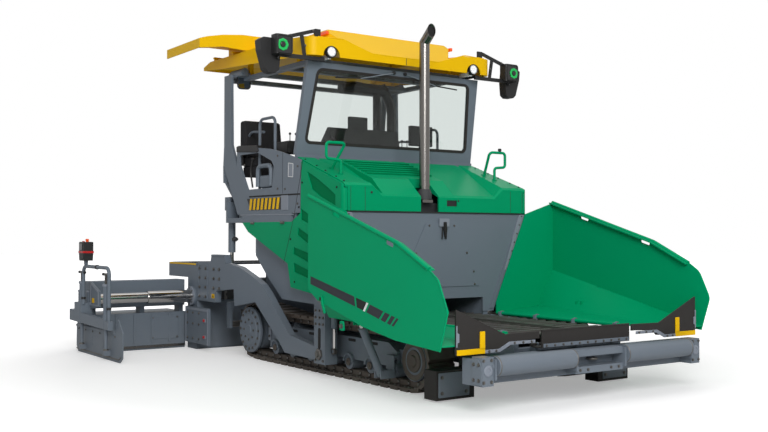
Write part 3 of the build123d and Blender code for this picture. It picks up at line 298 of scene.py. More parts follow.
@dataclass(frozen=True)
class Finish:
    """One finish: its colour, its gloss and how far they change over the surface."""

    name: str
    colour: Colour
    roughness: float = 0.4
    metallic: float = 0.0
    coat: float = 0.0
    change: float = 0.08
    change_size: float = 1.6
    grain_size: float = 160.0
    grain_depth: float = 0.0006
    grain: float = 0.15
    dust: float = 0.0
    dust_height: float = 1.0
    glow: float = 0.0
    clear: float = 0.0
    shine: float = 0.5

    def material(self) -> bpy.types.Material:
        """Make this finish's material, or find the one that exists.

        Returns:
            The material.
        """
        made = bpy.data.materials.get(f"{self.name}_look")
        if made:
            return made
        made = bpy.data.materials.new(f"{self.name}_look")
        made.use_nodes = True
        nodes = Nodes(made.node_tree)
        shader = made.node_tree.nodes["Principled BSDF"]
        surface = nodes.add("Group", node_tree=SURFACE)
        nodes.fill(surface, Colour=self.colour, Roughness=self.roughness)
        nodes.fill(surface, Size=self.change_size, Amount=self.change)
        colour = surface.outputs["Colour"]
        if self.dust:
            dust = nodes.add("Group", node_tree=DUST)
            nodes.fill(dust, Amount=self.dust, Height=self.dust_height)
            colour = nodes.mix(dust.outputs["Mask"], colour, DUST_COLOUR)
        nodes.fill(
            shader, Base_Color=colour, Roughness=surface.outputs["Roughness"], Metallic=self.metallic,
            Coat_Weight=self.coat, Coat_Roughness=COAT_ROUGHNESS, Transmission_Weight=self.clear,
            Specular_IOR_Level=self.shine,
        )
        if self.glow:
            nodes.fill(shader, Emission_Color=colour, Emission_Strength=self.glow)
        if self.grain:
            grain = nodes.add("Group", node_tree=GRAIN)
            nodes.fill(grain, Size=self.grain_size, Depth=self.grain_depth, Strength=self.grain)
            nodes.fill(shader, Normal=grain.outputs["Normal"])
        return made


GREEN = Finish("green_paint", srgb(0, 154, 103), 0.4, shine=0.06, change=0.06)
# painted shade: darker green for the louvres' gaps and the covers' recesses, where shade falls
PAINTED_SHADE_GREEN = Finish("painted_shade_green", srgb(0, 118, 72), 0.55, shine=0.03, change=0.06)
GREY = Finish("blue_grey_paint", srgb(108, 118, 129), 0.45, shine=0.3, dust=0.2, dust_height=0.6)
PALE_GREY = Finish("pale_grey_paint", srgb(132, 139, 150), 0.42, shine=0.35, change=0.06)
YELLOW = Finish("yellow_paint", srgb(240, 190, 0), 0.42, shine=0.15, change=0.05)
STAINLESS = Finish("stainless_tube", srgb(122, 119, 116), 0.26, metallic=1.0, change=0.12, change_size=3.0)
CHROME = Finish("hard_chrome", srgb(196, 194, 192), 0.1, metallic=1.0, change=0.05)
TRACK = Finish(
    "track_steel", srgb(76, 66, 58), 0.58, metallic=0.25, change=0.5, change_size=7.0, grain_size=60.0,
    grain=0.5, dust=0.35, dust_height=0.9,
)
WORN = Finish("worn_steel", srgb(112, 110, 107), 0.45, metallic=0.8, change=0.4, change_size=5.0, grain=0.3)
CAST = Finish("cast_block", srgb(52, 54, 56), 0.7, change=0.2, grain_size=80.0, grain=0.4)
RUBBER = Finish("black_rubber", srgb(34, 31, 29), 0.72, change=0.25, grain_size=90.0, grain=0.35)
BLACK = Finish("black_plastic", srgb(24, 24, 25), 0.5, change=0.12, grain_size=260.0, grain=0.3)
SEAT = Finish("seat_cover", srgb(30, 30, 33), 0.85, change=0.2, grain_size=420.0, grain=0.6)
GLASS = Finish("clear_glass", srgb(220, 228, 225), 0.03, clear=1.0, change=0.0, grain=0.0)
LENS = Finish("lamp_lens", srgb(232, 234, 236), 0.12, coat=0.6, change=0.05)
RED = Finish("red_plastic", srgb(196, 22, 24), 0.4, coat=0.2)
# glows a little; on the control box's knob, which is no lamp, the glow is painted light
GLOWING_ORANGE = Finish("glowing_orange", srgb(240, 84, 8), 0.3, coat=0.4, glow=0.15)
SIGNAL_GREEN = Finish("signal_green", srgb(8, 170, 78), 0.4, coat=0.3, glow=0.25)
DIODE = Finish("white_diode", srgb(250, 250, 250), 0.2, coat=0.5, glow=0.6)
BLACK_GLOSS = Finish("black_gloss_plastic", srgb(16, 17, 18), 0.22, coat=0.5, change=0.1)
MIRROR = Finish("mirror_glass", srgb(168, 176, 182), 0.04, metallic=1.0, change=0.02, grain=0.0)
# matt black for real black parts, joints and print, and as painted shade over slots and the exhaust's mouth
MATT_BLACK = Finish("matt_black", srgb(14, 14, 14), 0.8, change=0.2, grain_size=90.0, grain=0.3)
MARK_DARK = Finish("dark_film", srgb(48, 50, 56), 0.45, shine=0.2, change=0.05)
LETTER = Finish("white_film", srgb(228, 230, 230), 0.4, coat=0.3, change=0.04)

SLOT_FINISH = {
    "green_paint": GREEN, "grey_paint": GREY, "yellow_paint": YELLOW, "track_steel": TRACK,
    "worn_steel": WORN, "cast_block": CAST, "chrome": CHROME, "rubber": RUBBER, "black_plastic": BLACK,
    "lamp_glass": LENS, "glass": GLASS, "seat_cover": SEAT,
}
NODE_FINISH = {"exhaust": STAINLESS}


def dress_nodes() -> None:
    """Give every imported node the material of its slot, or its own where it has one."""
    slots = {part["node"]: part["material_slot"] for part in frame["record"]["subparts"]}
    for name, node in frame["nodes"].items():
        finish = NODE_FINISH.get(name, SLOT_FINISH[slots[name]])
        node.data.materials.clear()
        node.data.materials.append(finish.material())
    log.info("%d nodes dressed", len(frame["nodes"]))


# ------------------------------------------------------------------ modelling steps
SHARP = math.radians(32.0)  # edges sharper than this are rounded


def pick(piece: bpy.types.Object) -> None:
    """Select one piece alone and make it the active one."""
    bpy.ops.object.select_all(action="DESELECT")
    piece.select_set(True)
    bpy.context.view_layer.objects.active = piece


@contextmanager
def editing(piece: bpy.types.Object) -> Iterator[None]:
    """Open one piece in edit mode with all of it selected."""
    pick(piece)
    bpy.ops.object.mode_set(mode="EDIT")
    bpy.ops.mesh.select_mode(type="VERT")
    bpy.ops.mesh.select_all(action="SELECT")
    yield
    bpy.ops.object.mode_set(mode="OBJECT")


def face_outwards() -> None:
    """Turn every face of the piece in edit mode outwards."""
    bpy.ops.mesh.select_all(action="SELECT")
    bpy.ops.mesh.normals_make_consistent(inside=False)


def modify(piece: bpy.types.Object, kind: str, **settings: object) -> bpy.types.Object:
    """Add a modifier with its settings and apply it.

    Args:
        piece: a mesh.
        kind: the modifier's type.
        settings: properties to set on it.
    Returns:
        The piece.
    """
    pick(piece)
    modifier = piece.modifiers.new(kind.lower(), kind)
    for name, value in settings.items():
        setattr(modifier, name, value)
    bpy.ops.object.modifier_apply(modifier=modifier.name)
    return piece


def soften(piece: bpy.types.Object, width: float, segments: int = 2) -> bpy.types.Object:
    """Round a piece's sharp edges by a width in millimetres."""
    rounding = {"width": width / 1000, "segments": segments, "limit_method": "ANGLE", "angle_limit": SHARP}
    return modify(piece, "BEVEL", **rounding)


def shade(piece: bpy.types.Object, angle: float = 38.0) -> bpy.types.Object:
    """Shade a piece smooth over edges blunter than an angle in degrees."""
    pick(piece)
    bpy.ops.object.shade_smooth_by_angle(angle=math.radians(angle))
    return piece


def wire(name: str, points: Sequence[Vector]) -> bpy.types.Object:
    """Start a piece as a line of edges.

    Args:
        name: the piece's name.
        points: the line's corners in metres.
    Returns:
        The piece.
    """
    mesh = bpy.data.meshes.new(name)
    mesh.from_pydata([tuple(point) for point in points], [(i, i + 1) for i in range(len(points) - 1)], [])
    piece = bpy.data.objects.new(name, mesh)
    bpy.context.collection.objects.link(piece)
    return piece


def drawn(name: str, outline: Sequence[Flat], plane: Plane, level: float) -> bpy.types.Object:
    """Start a piece as one face.

    Args:
        name: the piece's name.
        outline: the face's corners in the plane.
        plane: plane of the outline.
        level: where the face lies along the plane's w.
    Returns:
        The piece.
    """
    bpy.ops.mesh.primitive_circle_add(vertices=len(outline), radius=1.0, fill_type="NGON")
    piece = bpy.context.object
    piece.name = name
    for vertex, (u, v) in zip(piece.data.vertices, outline):
        vertex.co = plane.at(u, v, level)
    return piece


def plate(
    name: str, outline: Sequence[Flat], span: Flat, plane: Plane, bevel: float = 1.5, corner: float = 0.0,
    ring: float = 0.0,
) -> bpy.types.Object:
    """Plate with a drawn outline.

    Args:
        name: the piece's name.
        outline: corners in the plane, in millimetres.
        span: where it starts and ends along the plane's w.
        plane: plane of the outline.
        bevel: rounding of its edges, 0 for none.
        corner: rounding of the outline's corners.
        ring: width of the border that is left if the middle is cut out, 0 to keep the middle.
    Returns:
        The plate.
    """
    piece = drawn(name, outline, plane, span[0])
    with editing(piece):
        if corner:
            bpy.ops.mesh.bevel(offset=corner / 1000, segments=4, affect="VERTICES")
        if ring:
            bpy.ops.mesh.select_mode(type="FACE")
            bpy.ops.mesh.inset(thickness=ring / 1000, depth=0.0)
            bpy.ops.mesh.delete(type="FACE")
            bpy.ops.mesh.select_all(action="SELECT")
        move = plane.at(0, 0, span[1]) - plane.at(0, 0, span[0])
        bpy.ops.mesh.extrude_region_move(TRANSFORM_OT_translate={"value": move})
        face_outwards()
    return soften(piece, bevel) if bevel else piece


def skin(name: str, outline: Sequence[Flat], face: float, thick: float, *shape: float) -> bpy.types.Object:
    """Plate on a right-hand face.

    Args:
        name: the piece's name.
        outline: corners in X and Z.
        face: Y of the face.
        thick: how far it stands out.
        shape: plate's bevel, corner and ring.
    Returns:
        The plate.
    """
    return plate(name, outline, (face - thick, face), SIDE, *shape)


def bar(name: str, low: Point, high: Point, bevel: float = 3.0, segments: int = 2) -> bpy.types.Object:
    """Square bar or box with rounded edges between two corners in millimetres."""
    (x0, y0, z0), (x1, y1, z1) = low, high
    return soften(plate(name, rect(x0, y0, x1, y1), (z0, z1), TOP, 0), bevel, segments)


def strip(
    name: str, start: Point, end: Point, width: float, thick: float, outwards: Point, bevel: float = 1.5
) -> bpy.types.Object:
    """Flat bar between two places.

    Args:
        name: the piece's name.
        start, end: ends of its middle line, on the face that it lies on.
        width, thick: its section.
        outwards: direction that its thickness goes in.
        bevel: rounding of its edges.
    Returns:
        The bar.
    """
    along = Vector(end) - Vector(start)
    u = along.normalized()
    v = Vector(outwards).cross(u).normalized()
    plane = Plane(start, tuple(u), tuple(v), tuple(u.cross(v)))
    return plate(name, rect(0, -width / 2, along.length, width / 2), (0, thick), plane, bevel)


def tube(name: str, points: Sequence[Point], radius: float, bend: float = 0.0) -> bpy.types.Object:
    """Round bar along straight runs with bent corners.

    Args:
        name: the piece's name.
        points: ends and corners in millimetres.
        radius: of the bar.
        bend: how far from a corner its bend starts.
    Returns:
        The bar.
    """
    piece = wire(name, [at(*point) for point in points])
    with editing(piece):
        bpy.ops.mesh.select_all(action="DESELECT")
    for vertex in piece.data.vertices[1:-1]:
        vertex.select = True
    if bend and len(points) > 2:
        bpy.ops.object.mode_set(mode="EDIT")
        bpy.ops.mesh.bevel(offset=bend / 1000, segments=5, affect="VERTICES")
        bpy.ops.object.mode_set(mode="OBJECT")
    bpy.ops.object.convert(target="CURVE")
    piece = bpy.context.object
    piece.data.bevel_depth = radius / 1000
    piece.data.bevel_resolution = 2
    piece.data.use_fill_caps = True
    bpy.ops.object.convert(target="MESH")
    piece = bpy.context.object
    piece.name = name
    return shade(piece)


def turned(
    name: str, profile: Sequence[Flat], centre: Point, axis: Point, sides: int = 24, smooth: float = 38.0
) -> bpy.types.Object:
    """Turned piece.

    Args:
        name: the piece's name.
        profile: distance along the axis and radius of each corner, in millimetres.
        centre: place that the distances start from.
        axis: the direction they go in.
        sides: faces round it.
        smooth: edges blunter than this are shaded smooth, 0 to keep it faceted.
    Returns:
        The piece.
    """
    line = Vector(axis).normalized()
    out = line.orthogonal().normalized()
    piece = wire(name, [at(*(Vector(centre) + line * along + out * radius)) for along, radius in profile])
    with editing(piece):
        bpy.ops.mesh.spin(steps=sides, angle=math.tau, center=at(*centre), axis=line)
        bpy.ops.mesh.select_all(action="SELECT")
        bpy.ops.mesh.remove_doubles(threshold=0.00003)
        face_outwards()
    return shade(piece, smooth) if smooth else piece


def at_origin(piece: bpy.types.Object) -> bpy.types.Object:
    """Move a piece from the middle of the tracks to the origin, where models for copies lie."""
    piece.data.transform(Matrix.Translation((-MID, 0, 0)))
    return piece


def model(profile: Sequence[Flat], axis: Point, sides: int) -> bpy.types.Object:
    """Turned piece at the origin, to make copies of."""
    return at_origin(turned("model", profile, (0, 0, 0), axis, sides))


def joined(name: str, pieces: Sequence[bpy.types.Object]) -> bpy.types.Object:
    """Join pieces into one.

    Args:
        name: the joined piece's name.
        pieces: what is joined.
    Returns:
        The joined piece.
    """
    pick(pieces[0])
    for piece in pieces:
        piece.select_set(True)
    bpy.ops.object.join()
    pieces[0].name = name
    return pieces[0]


def copies(name: str, original: bpy.types.Object, moves: Iterable[Matrix]) -> bpy.types.Object:
    """Copies of a model, each with its own mesh, joined into one piece.

    Args:
        name: the piece's name.
        original: the model, which goes.
        moves: turn and place of each copy.
    Returns:
        The piece.
    """
    made = []
    for move in moves:
        copy = original.copy()
        copy.data = original.data.copy()
        copy.data.transform(move)
        bpy.context.collection.objects.link(copy)
        made.append(copy)
    bpy.data.objects.remove(original)
    return joined(name, made)


def spread(
    name: str, original: bpy.types.Object, places: Iterable[Point], way: Point = UP
) -> bpy.types.Object:
    """Copies of a model that looks up, each at a place in millimetres and turned to look another way."""
    turn = Vector(UP).rotation_difference(Vector(way)).to_matrix().to_4x4()
    return copies(name, original, [Matrix.Translation(at(*place)) @ turn for place in places])


def bolt(size: float) -> bpy.types.Object:
    """Bolt head on its washer, standing at the origin and looking up.

    Args:
        size: the head's radius in millimetres.
    Returns:
        The bolt.
    """
    unit = size / 1000
    bpy.ops.mesh.primitive_circle_add(vertices=8, radius=1.5 * unit, fill_type="NGON")
    piece = bpy.context.object
    with editing(piece):
        for inset, rise in ((0.0, 0.3), (0.45 * unit, 0.75), (0.25 * unit, 0.1)):
            if inset:
                bpy.ops.mesh.select_mode(type="FACE")
                bpy.ops.mesh.inset(thickness=inset, depth=0.0)
            bpy.ops.mesh.extrude_region_move(TRANSFORM_OT_translate={"value": (0, 0, rise * unit)})
            bpy.ops.mesh.select_mode(type="FACE")
        face_outwards()
    return piece


def bolts(name: str, places: Iterable[Point], way: Point, size: float) -> bpy.types.Object:
    """Row of bolts as one piece; each place is where a washer rests, in millimetres."""
    return spread(name, bolt(size), places, way)


@dataclass(frozen=True)
class Carrier:
    """A CAD body that pieces ride on; one with a left-hand twin is given by its right-hand name."""

    body: str

    def once(self, finish: Finish, *pieces: bpy.types.Object) -> None:
        """Dress pieces and hand them to the body.

        Args:
            finish: what they are made of.
            pieces: the pieces.
        """
        for piece in pieces:
            piece.data.materials.clear()
            piece.data.materials.append(finish.material())
            hand_over(piece, self.body, finish)

    def twice(self, finish: Finish, *pieces: bpy.types.Object) -> None:
        """Dress pieces and their mirror images, and hand them to the bodies of their sides.

        Args:
            finish: what they are made of.
            pieces: the right-hand pieces.
        """
        for piece in pieces:
            twin = piece.copy()
            twin.data = piece.data.copy()
            twin.data.transform(Matrix.Diagonal((1, -1, 1, 1)))
            twin.data.flip_normals()
            bpy.context.collection.objects.link(twin)
            twin.name = f"{piece.name}_{Side.LEFT.tag}"
            piece.name = f"{piece.name}_{Side.RIGHT.tag}"
            Carrier(self.body.replace("_right", "_left")).once(finish, twin)
            self.once(finish, piece)


def hand_over(piece: bpy.types.Object, body: str, finish: Finish) -> None:
    """Let a piece ride on a body.

    Args:
        piece: the piece.
        body: the CAD body.
        finish: not used.
    """
    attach(piece, body)
    log.info("%s rides on %s", piece.name, body)


MACHINE, HOOD, APRON, SCREED = Carrier("machine"), Carrier("hood"), Carrier("apron"), Carrier("screed")
BEAM, ROLLER = Carrier("push_beam"), Carrier("push_roller_right")
WING, LIFT_BARREL = Carrier("wing_right"), Carrier("lift_barrel_right")
EXTENSION, GATE = Carrier("extension_right"), Carrier("end_gate_right")


# ------------------------------------------------------------------ upper works
SCREEN_LEAN = (0.18435, 0.0, 0.98286)  # up along the windscreen
SCREEN = Plane((-440, 0, 2387), (0, 1, 0), SCREEN_LEAN, (SCREEN_LEAN[2], 0, -SCREEN_LEAN[0]))


def on_screen(u: float, v: float, w: float) -> Point:
    """Place in millimetres of a point across, up and out of the windscreen's plane."""
    metres = SCREEN.at(u, v, w)
    return ((metres.x - MID) * 1000, metres.y * 1000, metres.z * 1000)


@dataclass
class Roof:
    """Edges, markers, lamps and mirror of the roof."""

    lamp: Point = (-88, -1010, 3495)
    signal: Point = (-57, -1635, 3503)
    diodes: int = 7  # round the one in the lamp's middle
    diode_circle: float = 30

    def build(self) -> None:
        """Make all of it."""
        self.edges()
        self.work_lights()
        self.signals()
        self.mirror()

    def edges(self) -> None:
        """Rounded edges that catch the light, the seam in front and the markers at the dome's sides."""
        band = tube("roof_band_edge", [(-88, -478, 3529), (-88, 478, 3529)], 7)
        crest = tube("roof_crest_edge", [(-449, -838, 3812), (-449, 838, 3812)], 8)
        MACHINE.once(YELLOW, band, crest)
        lobe = [(-90, -482, 3532), (-90, -866, 3650), (-92, -1180, 3642)]
        MACHINE.twice(YELLOW, tube("roof_lobe_edge", lobe, 6, 20))
        MACHINE.twice(GLOWING_ORANGE, bar("roof_marker", (-545, -908, 3744), (-362, -872, 3786), 10, 3))
        MACHINE.once(BLACK, bar("roof_seam", (-84.5, -4, 3446), (-83, 4, 3524), 0.5))

    def work_lights(self) -> None:
        """Bezel, bowl and diodes of the round lamps."""
        x, y, z = self.lamp
        bezel = [(-40, 53), (-40, 66), (2, 66), (7, 62), (7, 56), (1, 52)]
        MACHINE.twice(BLACK, turned("lamp_bezel", bezel, self.lamp, AHEAD, 32))
        MACHINE.twice(LENS, turned("lamp_bowl", [(1, 53), (3, 50), (2, 30), (1, 0)], self.lamp, AHEAD, 32))
        dot = model([(0, 9), (3, 8), (5, 5), (5.5, 0)], UP, 10)
        spots = [(x + 2, y + a, z + b) for a, b in [(0.0, 0.0), *circle(self.diodes, self.diode_circle)]]
        MACHINE.twice(DIODE, spread("lamp_diodes", dot, spots, AHEAD))

    def signals(self) -> None:
        """Face of the signal lamps: frame, panel and the lit ring round a black middle."""
        MACHINE.twice(
            BLACK,
            plate("signal_frame", rect(-1704, 3411, -1518, 3608), (-61, -49), END, 2, 26, 15),
            tube("signal_visor", [(-60, -1700, 3416), (-60, -1700, 3602), (-60, -1522, 3602)], 6, 18),
            turned("signal_knob", [(0, 14), (24, 14), (28, 10), (28, 0)], (-150, -1640, 3388), DOWN, 12),
        )
        panel = plate("signal_panel", rect(-1690, 3425, -1532, 3594), (-61, -57), END, 1, 14)
        hub = turned("signal_hub", [(0, 34), (10, 30), (12, 24), (12, 0)], self.signal, AHEAD, 8, 0)
        MACHINE.twice(BLACK_GLOSS, panel, hub)
        ring = [(0, 66), (6, 66), (8, 62), (8, 40), (2, 34), (0, 34)]
        MACHINE.twice(SIGNAL_GREEN, turned("signal_ring", ring, self.signal, AHEAD, 8, 0))
        fixings = [(-139, -1585, 3605), (-139, -1500, 3630), (-139, -1220, 3712), (-139, -1316, 3540)]
        MACHINE.twice(WORN, bolts("signal_bolts", fixings, AHEAD, 9))

    def mirror(self) -> None:
        """Rear-view mirror on the right-hand post."""
        plane = Plane((-1985, -1110, 3415), (0.25, 0.968, 0), (-0.18, 0.05, 0.982), (0.95, -0.25, 0.18))
        shell = plate("mirror_shell", rect(-85, -125, 85, 125), (0, 26), plane, 6, 45)
        arm = [(-1990, -1105, 3440), (-2060, -1120, 3460), (-2130, -1165, 3460)]
        MACHINE.once(BLACK, shell, tube("mirror_arm", arm, 9, 20))
        MACHINE.once(MIRROR, plate("mirror_glass", rect(-74, -114, 74, 114), (26, 28), plane, 0.6, 38))


@dataclass
class Screen:
    """Seal and wipers of the windscreen, and what shows behind it."""

    pivot: float = 1004  # of the wipers, up along the screen
    half_blade: float = 330

    def build(self) -> None:
        """Make all of it."""
        opening = [(-1164, 122), (1164, 122), (1089, 970), (-1089, 970)]
        MACHINE.once(RUBBER, plate("screen_seal", opening, (0, 6), SCREEN, 2, 76, 34))
        self.wipers()
        self.ducts()

    def wipers(self) -> None:
        """Two wipers that hang from the top and rest along it."""
        cap = [(0, 20), (22, 20), (26, 15), (26, 0)]
        for side, start, end, low in ((Side.RIGHT, -60, -520, 900), (Side.LEFT, 100, 560, 905)):
            elbow = on_screen(start + (end - start) * 0.2, 985, 30)
            arm = [on_screen(start, self.pivot, 16), elbow, on_screen(end, low, 22)]
            MACHINE.once(PALE_GREY, tube(f"wiper_arm_{side.tag}", arm, 6, 12))
            half = side.value * self.half_blade
            inner, outer = on_screen(end - half, low + 22, 8), on_screen(end + half, low - 16, 8)
            MACHINE.once(
                BLACK,
                strip(f"wiper_blade_{side.tag}", inner, outer, 16, 14, SCREEN.w),
                turned(f"wiper_cap_{side.tag}", cap, on_screen(start, self.pivot, 0), SCREEN.w, 14),
            )

    def ducts(self) -> None:
        """Air ducts, monitors, pads and levers of the operator's place, dark behind the glass."""
        MACHINE.once(
            BLACK,
            tube("duct_outer", [(-1400, 725, 1705), (-1400, 725, 3180), (-1400, 560, 3410)], 62, 120),
            tube("duct_inner", [(-1400, 495, 1705), (-1400, 495, 3300)], 52),
            tube("duct_cross", [(-1400, 640, 3340), (-1400, 120, 3380), (-1400, -60, 3330)], 66, 90),
            bar("monitor_left", (-1180, 830, 2640), (-1120, 1190, 2900), 14, 3),
            bar("monitor_stalk", (-1165, 990, 2555), (-1135, 1030, 2645), 6),
            bar("monitor_middle", (-1010, -210, 2770), (-960, 60, 2930), 14, 3),
            bar("desk_pad", (-1195, -1080, 2558), (-905, -560, 2585), 10, 3),
            bar("desk_pad_left", (-1195, 520, 2558), (-905, 1080, 2585), 10, 3),
        )
        stick = model([(0, 14), (8, 6), (80, 5), (86, 14), (104, 15), (112, 0)], UP, 12)
        levers = [(-1050, y, 2585) for y in (-980, -900, -820, 640, 720)]
        MACHINE.once(BLACK, spread("desk_levers", stick, levers))


@dataclass
class Hood:
    """Louvres, seams and handles of the hood, recesses of the side covers, and the exhaust's fittings."""

    louvres: int = 6
    louvre_step: float = 86
    seams: tuple[float, ...] = (-1177, -998, 1022, 1203)
    slope: tuple[Flat, Flat] = ((-395, 2358), (327, 2105))  # X and Z at the ends of the louvred slope
    front: float = 551.5
    cover: float = -1262
    upright: Point = (0.323, 0, 0.946)  # out of the sloping top
    stack_y: float = -148

    def build(self) -> None:
        """Make all of it."""
        self.top()
        self.face()
        self.recesses()
        self.exhaust()

    def top(self) -> None:
        """Louvres, screws and the handles' knobs and feet."""
        (high_x, high_z), (low_x, low_z) = self.slope
        for i in range(self.louvres):
            x = -260 + self.louvre_step * i
            z = high_z + (x - high_x) / (low_x - high_x) * (low_z - high_z)
            # each gap is a thin plate of darker green, painted shade under its louvre's lip
            gap = [(x + 0.5, z - 4), (x + 0.5, z + 15), (x + 2.5, z + 15), (x + 2.5, z - 4)]
            HOOD.once(PAINTED_SHADE_GREEN, plate(f"louvre_gap_{i}", gap, (-716, 166), SIDE, 0.4))
            lip = [(x - 8, z + 21), (x + 4, z + 24), (x + 7, z + 15), (x + 1, z + 15)]
            HOOD.once(GREEN, plate(f"louvre_lip_{i}", lip, (-718, 168), SIDE, 1))
        rows = [(x, 2355 - (x + 400) * 0.3416 + 1) for x in (-300, -60, 120, 330, 480)]
        screws = [(x, side.value * 1215, z) for side in Side for x, z in rows]
        HOOD.once(BLACK, bolts("hood_screws", screws, self.upright, 8))
        knob = [(0, 17), (6, 17), (12, 22), (30, 22), (38, 14), (38, 0)]
        HOOD.twice(BLACK, turned("handle_knob", knob, (200, -1172, 2488), UP, 18))
        foot = model([(0, 30), (6, 30), (8, 26), (8, 17)], UP, 18)
        feet = [(20, -1080, 2214), (210, -1080, 2149)]
        HOOD.twice(GREEN, spread("handle_feet", foot, feet, self.upright))

    def face(self) -> None:
        """Seams, lock and notch of the front, and black plates as painted shade in its pocket and in the
        gap under it.
        """
        for i, y in enumerate(self.seams):
            seam = bar(f"hood_seam_{i}", (self.front, y - 2, 1752), (self.front + 1.3, y + 2, 2000), 0.3, 1)
            HOOD.once(BLACK, seam)
        HOOD.once(
            BLACK,
            turned("hood_lock", [(0, 13), (4, 13), (6, 9), (6, 0)], (551, -917, 1943), AHEAD, 14),
            plate("hood_notch", [(236, 1862), (262, 1864), (250, 1892)], (self.front, 553), END, 0.3),
            plate("pocket_shade", rect(88, 1814, 230, 1878), (539, 541), END, 0.4),
        )
        # painted shade: a black bar where the gap between hood and bulkhead lies in shade
        MACHINE.once(BLACK, bar("hood_gap_shade", (540, -1205, 1735), (548, 1205, 1748), 1))

    def recesses(self) -> None:
        """Darker green plates in the recesses pressed into the side covers: painted shade, since the
        recesses are too shallow to shade themselves.
        """
        outlines = [
            [(-162, 2183), (-60, 2145), (90, 2080), (250, 2000), (412, 1913), (413, 1798), (260, 1850),
             (107, 1905), (-60, 1990)],
            [(-288, 1785), (-51, 1688), (-50, 1596), (-287, 1663)],
            [(-350, 1579), (-50, 1467), (-49, 1366), (-360, 1495)],
            [(-435, 1362), (-49, 1284), (-48, 1182), (-453, 1286)],
            [(-440, 1190), (-47, 1100), (-46, 1010), (-430, 1090)],
        ]
        for i, outline in enumerate(outlines):
            MACHINE.twice(PAINTED_SHADE_GREEN, skin(f"recess_{i}", outline, self.cover, 4, 0))

    def exhaust(self) -> None:
        """Silencer's end, the pipe's funnel and clamp, and a black disc over its mouth: its soot, with
        painted shade of the hollow inside.
        """
        foot = (450, self.stack_y, 1885)
        funnel = [(0, 82), (70, 80), (78, 76), (110, 62), (112, 58), (96, 58)]
        silencer = bar("silencer_end", (306, -128, 1856), (382, -44, 1996), 14, 3)
        MACHINE.once(CAST, silencer, turned("exhaust_funnel", funnel, foot, UP, 32))
        clamp = [(0, 57.5), (0, 61), (34, 61), (34, 57.5)]
        MACHINE.once(STAINLESS, turned("exhaust_clamp", clamp, (450, self.stack_y, 2030), UP, 32))
        # black disc: soot of the mouth, with painted shade of the pipe's hollow inside
        mouth = [(self.stack_y + y, 3712 + z) for y, z in circle(24, 51, 74)]
        MACHINE.once(MATT_BLACK, plate("exhaust_mouth_soot_and_shade", mouth, (556, 560), END, 0.5))


